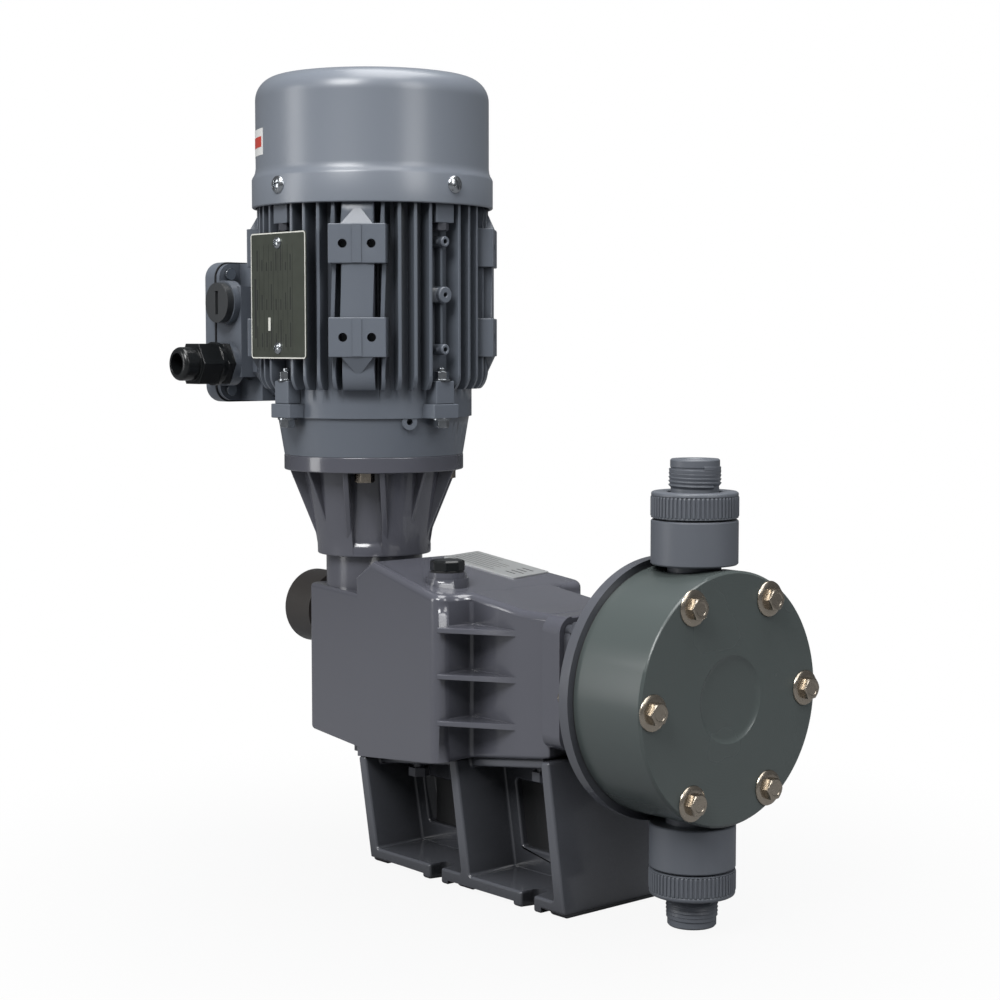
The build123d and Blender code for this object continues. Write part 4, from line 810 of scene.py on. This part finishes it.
def makeCowl():
    c = cowl
    outer = [(c["skirt"] - 0.5, c["low"]), (c["skirt"], c["low"] + 0.5), (c["skirt"], c["step"] - 1.6),
             (c["skirt"] - 0.45, c["step"] - 0.4), (c["skirt"] - 1.3, c["step"] + 0.9),
             (c["drum"] + 0.35, c["drumFrom"] - 2.4), (c["drum"], c["drumFrom"])]
    steps = 12
    for step in range(steps + 1):
        a = math.radians(84 * step / steps)
        outer.append((c["drum"] - c["shoulderR"] * (1 - math.cos(a)),
                      c["shoulder"] + c["shoulderR"] * math.sin(a)))
    outer += [(c["crownR"] + 12, c["crownZ"] - 0.9), (c["crownR"], c["crownZ"]), (c["open"],
                                                                                  c["crownZ"] + 0.1)]
    inner = [(max(r - c["wall"], c["open"]), h - (0 if i < 8 else c["wall"])) for i, (r,
                                                                                      h) in enumerate(outer)]
    outline = outer + inner[::-1]
    piece = newPiece("fanCowlShell", turned("fanCowlShell", outline, 128), "cowlPaint", 30)
    piece.data.transform(onMotor)
    finishPiece(piece, "pump", ["fan_cowl"])


makeCowl()
print("castings made")

# ---- cross-recess screws on the cowl and the motor plate
crossScrew = {"radius": 4.0, "dome": 2.3, "arm": 2.3, "slot": 0.85, "recess": 1.3}


def crossHead(name, scale=1.0):
    c = {key: value * scale for key, value in crossScrew.items()}
    outline = [(0, -0.5), (c["radius"], -0.5), (c["radius"], 0.35 * scale)]
    for step in range(1, 7):
        a = math.radians(15 * step)
        outline.append((c["radius"] * math.cos(a), 0.35 * scale + (c["dome"] - 0.35 * scale) * math.sin(a)))
    outline[-1] = (0, c["dome"])
    head = newPiece(name, turned(name, outline, 32))
    for quarter in (0, 90):
        arm = slab("arm", roundedOutline(2 * c["arm"], c["slot"], 0.2, 2), c["dome"])
        tool = newPiece("arm", arm)
        tool.data.transform(Matrix.Translation(mm(0, 0, c["dome"] - c["recess"])) @ Matrix.Rotation(
            math.radians(quarter + 20), 4, "Z"))
        cut(head, tool)
    return head


cowlScrews = {"circle": 69.4, "z": 382.2, "scale": 1.28, "turn": 0.055}


def makeCowlScrews():
    c = cowlScrews
    head = crossHead("cowlScrewHead", c["scale"])
    head.data.transform(Matrix.Rotation(math.radians(90), 4, "Y"))
    boltRing("cowlCrossScrews", head, 4, c["circle"], "zinc",
             axes((pump["motorX"], 0, c["z"]), (1, c["turn"], 0), (0, 0, 1)), 35,
             ["cowl_screws"])


makeCowlScrews()
lugBolts = {"circle": 62.0, "across": 8.0, "head": 4.4, "washer": 5.4, "washerThick": 1.0, "stud": 2.4,
            "low": 251.5, "high": 272.5, "upperLow": 361.0, "studTop": 280.0}


def makeLugBolts():
    b = lugBolts
    washer = [(0, 0), (b["washer"], 0), (b["washer"], b["washerThick"]), (0, b["washerThick"])]
    parts = []
    for level, way in ((b["low"], -1), (b["high"], 1)):
        head = hexHead("lugHead", b["across"], b["head"])
        head.data.transform(Matrix.Translation(mm(0, 0, b["washerThick"])))
        disc = newPiece("lugWasher", turned("lugWasher", washer, 32))
        one = joined("lugPart", [head, disc])
        one.data.transform(axes((0, 0, level), (1, 0, 0), (0, 0, way)))
        parts.append(one)
    stud = newPiece("lugStud", turned("lugStud", [(0, b["low"]), (b["stud"], b["low"]), (b["stud"],
                                                                                         b["studTop"] - 0.5),
                                                  (b["stud"] - 0.5, b["studTop"]), (0, b["studTop"])], 24))
    parts.append(stud)
    bolt = joined("lugBolt", parts)
    boltRing("lugBolts", bolt, 4, b["circle"], "zinc", axes((pump["motorX"], 0, 0), (1, 0, 0), (0, 0, 1)),
             25, ["shield_bolts"])
    head = hexHead("upperHead", b["across"], b["head"])
    head.data.transform(axes((0, 0, b["upperLow"]), (1, 0, 0), (0, 0, -1)))
    boltRing("upperLugBolts", head, 4, b["circle"], "paintedSteel", axes((pump["motorX"], 0, 0), (1, 0, 0),
             (0, 0, 1)), 25)


makeLugBolts()
print("motor fasteners made")

# ---- motor plate and pump plate, with plain lines only
motorPlate = {"width": 53.0, "height": 71.0, "thick": 0.9, "corner": 2.0, "middleZ": 320.5, "faceY": -67.0}
pumpPlate = {"x": -46.0, "y": 27.0, "turn": 9.0, "width": 54.0, "height": 31.0, "thick": 0.8, "corner": 1.5,
             "peakX": -75.0, "peakZ": 172.0, "frontX": 0.6, "frontZ": 160.0}


def borderStrip(name, width, height, inset, strip, corner, thick):
    # a thin raised line round a plate
    outer = roundedOutline(width - 2 * inset, height - 2 * inset, corner)
    inner = roundedOutline(width - 2 * inset - 2 * strip, height - 2 * inset - 2 * strip,
                           max(corner - strip, 0.2))
    bm = bmesh.new()
    count = len(outer)
    layers = []
    for h in (0, thick):
        layers.append(([bm.verts.new(mm(x, y, h)) for x, y in outer], [bm.verts.new(mm(x, y, h)) for x,
                                                                       y in inner]))
    for i in range(count):
        j = (i + 1) % count
        (lowOut, lowIn), (highOut, highIn) = layers
        bm.faces.new([highOut[i], highOut[j], highIn[j], highIn[i]])
        bm.faces.new([lowOut[i], lowIn[i], lowIn[j], lowOut[j]])
        bm.faces.new([lowOut[i], lowOut[j], highOut[j], highOut[i]])
        bm.faces.new([lowIn[i], highIn[i], highIn[j], lowIn[j]])
    return meshFrom(name, bm)


def markRows(name, rows, spacing, length, stroke, height, shortest, seed, finish, corner):
    piece = grown(name, "rows", {"Rows": rows, "Spacing": mm(spacing), "Length": mm(length),
                                 "Stroke": mm(stroke),
                                 "Height": mm(height), "Shortest": shortest, "Seed": seed,
                                 "Finish": finishes[finish]})
    piece.data.transform(Matrix.Translation(mm(corner[0], corner[1], height / 2)))
    return piece


def makeMotorPlate():
    p = motorPlate
    place = axes((pump["motorX"], p["faceY"], p["middleZ"]), (0, 0, 1), (0, -1, 0))
    plate = newPiece("motorPlate", slab("motorPlate", roundedOutline(p["height"], p["width"], p["corner"]),
                                        p["thick"] - 0.12), "darkPlate")
    plate.data.transform(place)
    finishPiece(plate, "pump", ["nameplate"])
    top = place @ Matrix.Translation(mm(0, 0, p["thick"] - 0.12))
    edge = newPiece("motorPlateEdge", borderStrip("motorPlateEdge", p["height"], p["width"], 0.1, 0.7,
                                                  p["corner"], 0.1),
                    "paleInk")
    edge.data.transform(top)
    finishPiece(edge, "pump")
    wide = [markRows("tableLines", 8, 4.6, 60, 0.16, 0.05, 0.99, 1, "darkInk", (-31, -14)),
            markRows("entriesLeft", 8, 4.6, 17, 0.9, 0.05, 0.35, 4, "darkInk", (-29, -12)),
            markRows("entriesMiddle", 8, 4.6, 15, 0.9, 0.05, 0.35, 7, "darkInk", (-8, -12)),
            markRows("entriesRight", 8, 4.6, 13, 0.9, 0.05, 0.35, 9, "darkInk", (14, -12)),
            markRows("heading", 1, 4.6, 34, 1.6, 0.05, 0.99, 2, "darkInk", (-24, 22.2))]
    lines = joined("motorPlateLines", wide)
    lines.data.transform(top)
    finishPiece(lines, "pump")
    mark = newPiece("motorPlateMark", slab("motorPlateMark", roundedOutline(7.5, 2.2, 0.2, 2), 0.06),
                    "paleInk")
    mark.data.transform(top @ Matrix.Translation(mm(-16, 8.5, 0)))
    finishPiece(mark, "pump")
    screws = []
    for along in (-p["height"] / 2 + 6, p["height"] / 2 - 6):
        screw = crossHead("motorPlateScrew", 0.85)
        screw.data.transform(top @ Matrix.Translation(mm(along, 0, 0)))
        screws.append(screw)
    pair = joined("motorPlateScrews", screws)
    coated(pair, "zinc")
    smoothen(pair, 35)
    finishPiece(pair, "pump")


def makePumpPlate():
    p = pumpPlate
    fall = (p["peakZ"] - p["frontZ"]) / (p["frontX"] - p["peakX"])
    tilt = math.atan(fall)
    faceZ = p["peakZ"] - fall * (p["x"] - p["peakX"])
    turn = math.radians(p["turn"])
    down = Vector((math.cos(tilt), 0, -math.sin(tilt)))
    along = down * math.cos(turn) + Vector((0, 1, 0)) * math.sin(turn)
    place = axes((p["x"], p["y"], faceZ), along, (math.sin(tilt), 0, math.cos(tilt)))
    plate = newPiece("pumpPlate", slab("pumpPlate", roundedOutline(p["width"], p["height"], p["corner"]),
                                       p["thick"] - 0.08), "palePlate")
    plate.data.transform(place)
    finishPiece(plate, "pump", ["info_plate"])
    top = place @ Matrix.Translation(mm(0, 0, p["thick"] - 0.08))
    rows = [markRows("plateRows", 7, 3.6, 34, 0.42, 0.05, 0.45, 3, "darkInk", (-24, -11)),
            markRows("plateValues", 4, 5.0, 9, 1.1, 0.05, 0.5, 5, "darkInk", (14, -8))]
    lines = joined("pumpPlateLines", rows)
    lines.data.transform(top)
    finishPiece(lines, "pump")


makeMotorPlate()
makePumpPlate()
print("plates made")

# ---- film patch on the cowl, without words
patch = {"radius": 67.75, "from": -134.0, "to": -104.0, "low": 400.5, "high": 415.5, "barLow": 405.0,
         "barHigh": 411.0}


def curvedPatch(name, radius, start, end, low, high, thick, finish):
    steps = 16
    bm = bmesh.new()
    grid = []
    for h in (low, high):
        for r in (radius, radius + thick):
            row = []
            for step in range(steps + 1):
                a = math.radians(start + (end - start) * step / steps)
                row.append(bm.verts.new(mm(pump["motorX"] + r * math.cos(a), r * math.sin(a), h)))
            grid.append(row)
    lowIn, lowOut, highIn, highOut = grid
    for i in range(steps):
        for a, b in ((lowOut, highOut), (highIn, lowIn), (lowIn, lowOut), (highOut, highIn)):
            bm.faces.new([a[i], a[i + 1], b[i + 1], b[i]])
    for i in (0, steps):
        bm.faces.new([lowIn[i], lowOut[i], highOut[i], highIn[i]])
    return newPiece(name, meshFrom(name, bm), finish, 30)


film = curvedPatch("cowlPatch", patch["radius"], patch["from"], patch["to"], patch["low"], patch["high"], 0.1,
                   "whiteFilm")
finishPiece(film, "pump")
bar = curvedPatch("cowlPatchBar", patch["radius"] + 0.1, patch["from"] + 2, patch["to"] - 2, patch["barLow"],
                  patch["barHigh"], 0.06, "redFilm")
finishPiece(bar, "pump")

# ---- cowl grille over the fan
grille = {"rings": (4.0, 9.0, 14.0, 18.4), "wire": 1.1, "spokes": 6, "z": 449.6}


def makeGrille():
    parts = []
    for r in grille["rings"]:
        w = grille["wire"]
        outline = [(r - w + w * (1 - math.cos(math.radians(45 * k))), w * math.sin(math.radians(45 * k)))
                   for k in range(8)]
        parts.append(newPiece("grilleRing", turned("grilleRing", outline, 64)))
    spoke = newPiece("spoke", slab("spoke", roundedOutline(16.0, 1.6, 0.3, 2), 1.4))
    spoke.data.transform(Matrix.Translation(mm(0, 0, -0.7)))
    parts.append(ringOf("grilleSpokes", spoke, grille["spokes"], 10.5, "cowlPaint", Matrix.Identity(4)))
    bpy.data.objects.remove(spoke)
    guard = joined("cowlGrille", parts)
    coated(guard, "cowlPaint")
    guard.data.transform(axes((pump["motorX"], 0, grille["z"]), (1, 0, 0), (0, 0, 1)))
    smoothen(guard, 40)
    finishPiece(guard, "pump")


makeGrille()
print("cowl pieces made")

# ---- terminal box gasket and the motor's small castings
box = {"lidX": -223.0, "halfY": 44.2, "halfZ": 41.7, "middleZ": 300.5}
gasketMesh = borderStrip("lidGasket", 2 * box["halfY"] + 0.9, 2 * box["halfZ"] + 0.9, 0, 3.0, 9.0, 0.8)
gasket = newPiece("lidGasket", gasketMesh, "rubber")
gasket.data.transform(axes((box["lidX"] - 0.1, 0, box["middleZ"]), (0, 1, 0), (1, 0, 0)))
finishPiece(gasket, "pump")


def wedge(name, half, top, bottom, inner, outer):
    # a gusset under a foot pad: full width above, a point below
    bm = bmesh.new()
    faces = []
    for r in (inner, outer):
        faces.append([bm.verts.new(mm(r, y, z)) for y, z in ((-half, top), (half, top), (0, bottom))])
    back, front = faces
    bm.faces.new(back)
    bm.faces.new(front)
    for i in range(3):
        j = (i + 1) % 3
        bm.faces.new([back[i], back[j], front[j], front[i]])
    return newPiece(name, meshFrom(name, bm), "motorPaint")


gussets = []
for level, way in ((286.2, -1), (359.3, 1)):
    shape = wedge("gusset", 9.0, 0, 11.0 * way, 60.0, 71.0)
    for corner in shape.data.vertices:
        if abs(corner.co.z) > mm(5) and corner.co.x > mm(65):
            corner.co.x = mm(66.4)                        # the point runs down to the lower strip
    for quarter in range(4):
        one = newPiece("gussetCopy", shape.data.copy(), "motorPaint")
        one.data.transform(Matrix.Translation(mm(pump["motorX"], 0, level)) @ Matrix.Rotation(
            math.radians(45 + 90 * quarter), 4, "Z"))
        gussets.append(one)
    bpy.data.objects.remove(shape)
for level, height in ((297.0, 21.0), (348.6, 21.0)):
    for quarter in range(4):
        strip = newPiece("padStrip", slab("padStrip", roundedOutline(height, 5.2, 0.2, 2), 1.0), "motorPaint")
        turn = math.radians(45 + 90 * quarter)
        outward = (math.cos(turn), math.sin(turn), 0)
        strip.data.transform(axes((pump["motorX"] + 70.95 * outward[0], 70.95 * outward[1], level), (0, 0,
                                                                                                     1),
                                                                                                     outward))
        gussets.append(strip)
padGussets = joined("padGussets", gussets)
finishPiece(padGussets, "pump")

bossRow = {"fromZ": 290.2, "toZ": 350.5, "middleZ": 320.8, "ribWidth": 1.5, "foot": 55.5, "ribTop": 62.5,
           "top": 66.3,
           "small": 3.0, "large": 4.6, "hole": 1.3}


def makeBossRow():
    b = bossRow
    ribHeight = b["toZ"] - b["fromZ"]
    rib = newPiece("bossRib", slab("bossRib", roundedOutline(ribHeight, b["ribWidth"], 0.3, 2),
                                   b["ribTop"] - b["foot"]))
    rib.data.transform(axes((b["foot"], 0, (b["fromZ"] + b["toZ"]) / 2), (0, 0, 1), (1, 0, 0)))
    parts = [rib]
    for level, radius in ((b["fromZ"], b["small"]), (b["middleZ"], b["large"]), (b["toZ"], b["small"])):
        height = b["top"] - b["foot"]
        outline = [(0, 0), (radius + 0.5, 0), (radius, height - 0.5), (radius - 0.5, height),
                   (b["hole"] + 0.3, height), (b["hole"], height - 0.3), (b["hole"], height - 3), (0,
                                                                                                   height - 3)]
        boss = newPiece("boss", turned("boss", outline, 32))
        boss.data.transform(axes((b["foot"], 0, level), (0, 0, 1), (1, 0, 0)))
        parts.append(boss)
    row = joined("frameBossRow", parts)
    row.data.transform(onMotor)
    coated(row, "motorPaint")
    smoothen(row, 35)
    finishPiece(row, "pump")


makeBossRow()
print("small castings made")

# ---- stage, light and camera
stagePaint = {"floor": (120, 121, 123), "size": 14.0, "fadeFrom": 0.05, "fadeTo": 0.42, "nearWhite": 0.92}


def makeStage():
    floorMaterial = bpy.data.materials.new("stageFloor")
    floorMaterial.use_nodes = True
    nodes, links = floorMaterial.node_tree.nodes, floorMaterial.node_tree.links
    shader = nodes["Principled BSDF"]
    shader.inputs["Base Color"].default_value = toLinear(stagePaint["floor"])
    shader.inputs["Roughness"].default_value = 0.9
    glow = nodes.new("ShaderNodeEmission")
    glow.inputs["Strength"].default_value = 1.0
    seen = nodes.new("ShaderNodeLightPath")
    mix = nodes.new("ShaderNodeMixShader")
    place = nodes.new("ShaderNodeTexCoord")
    distance = nodes.new("ShaderNodeVectorMath")
    distance.operation = "LENGTH"
    fade = nodes.new("ShaderNodeMapRange")                # the floor turns plain white away from the pump
    fade.interpolation_type = "SMOOTHSTEP"
    fade.inputs["From Min"].default_value = stagePaint["fadeFrom"]
    fade.inputs["From Max"].default_value = stagePaint["fadeTo"]
    fade.inputs["To Min"].default_value = stagePaint["nearWhite"]
    share = nodes.new("ShaderNodeMath")
    share.operation = "MULTIPLY"
    wire(links, [(place, "Object", distance, 0), (distance, "Value", fade, "Value"),
                 (seen, "Is Camera Ray", share, 0), (fade, "Result", share, 1), (share, 0, mix, "Fac"),
                 (shader, "BSDF", mix, 1), (glow, "Emission", mix, 2)])
    links.new(mix.outputs["Shader"], nodes["Material Output"].inputs["Surface"])
    half = stagePaint["size"] / 2
    bm = bmesh.new()
    corners = [(-half, -half, 0), (half, -half, 0), (half, half, 0), (-half, half, 0)]
    bm.faces.new([bm.verts.new(c) for c in corners])
    floor = newPiece("floor", meshFrom("floor", bm))
    floor.data.materials.append(floorMaterial)


def makeWorld():
    world = bpy.data.worlds.new("studio")
    bpy.context.scene.world = world
    world.use_nodes = True
    nodes, links = world.node_tree.nodes, world.node_tree.links
    soft = nodes["Background"]
    soft.inputs["Color"].default_value = (0.93, 0.96, 1.0, 1)
    soft.inputs["Strength"].default_value = 0.15
    white = nodes.new("ShaderNodeBackground")
    white.inputs["Color"].default_value = (1, 1, 1, 1)
    white.inputs["Strength"].default_value = 1.0
    seen = nodes.new("ShaderNodeLightPath")
    mix = nodes.new("ShaderNodeMixShader")
    wire(links, [(seen, "Is Camera Ray", mix, "Fac"), (soft, "Background", mix, 1),
                 (white, "Background", mix, 2)])
    links.new(mix.outputs["Shader"], nodes["World Output"].inputs["Surface"])


lamps = {
    "keySoftbox": {"at": (0.5, -1.5, 1.7), "size": (0.9, 0.9), "watts": 38.0},
    "topSoftbox": {"at": (0.1, 0.1, 1.9), "size": (1.5, 1.1), "watts": 30.0},
    "leftStrip": {"at": (-0.9, -1.5, 0.55), "size": (0.5, 1.2), "watts": 8.0},
    "headFill": {"at": (1.6, 0.1, 1.2), "size": (0.7, 1.1), "watts": 12.0},
    "backFill": {"at": (-1.2, 1.3, 1.1), "size": (1.0, 1.0), "watts": 14.0, "mirrored": False},
}


def makeLamps(target):
    for name, lamp in lamps.items():
        data = bpy.data.lights.new(name, "AREA")
        data.shape = "RECTANGLE"
        data.size, data.size_y = lamp["size"]
        data.energy = lamp["watts"]
        holder = bpy.data.objects.new(name, data)
        bpy.context.scene.collection.objects.link(holder)
        holder.location = Vector(lamp["at"])
        holder.rotation_euler = (target - holder.location).to_track_quat("-Z", "Y").to_euler()
        holder.visible_glossy = lamp.get("mirrored", True)


studioCamera = {"at": (826.5, -736.3, 293.9), "down": 4.4, "turn": 48.7, "lens": 73.48}


def makeCamera():
    data = bpy.data.cameras.new("studioCamera")
    data.sensor_width = 36.0
    data.lens = studioCamera["lens"]
    data.clip_start, data.clip_end = 0.01, 100
    camera = bpy.data.objects.new("studioCamera", data)
    bpy.context.scene.collection.objects.link(camera)
    camera.location = mm(*studioCamera["at"])
    camera.rotation_euler = (math.radians(90 - studioCamera["down"]), 0, math.radians(studioCamera["turn"]))
    bpy.context.scene.camera = camera


makeStage()
makeWorld()
makeLamps(mm(0, 0, 200))
makeCamera()
bpy.context.scene.view_settings.view_transform = "Standard"
print("stage ready")
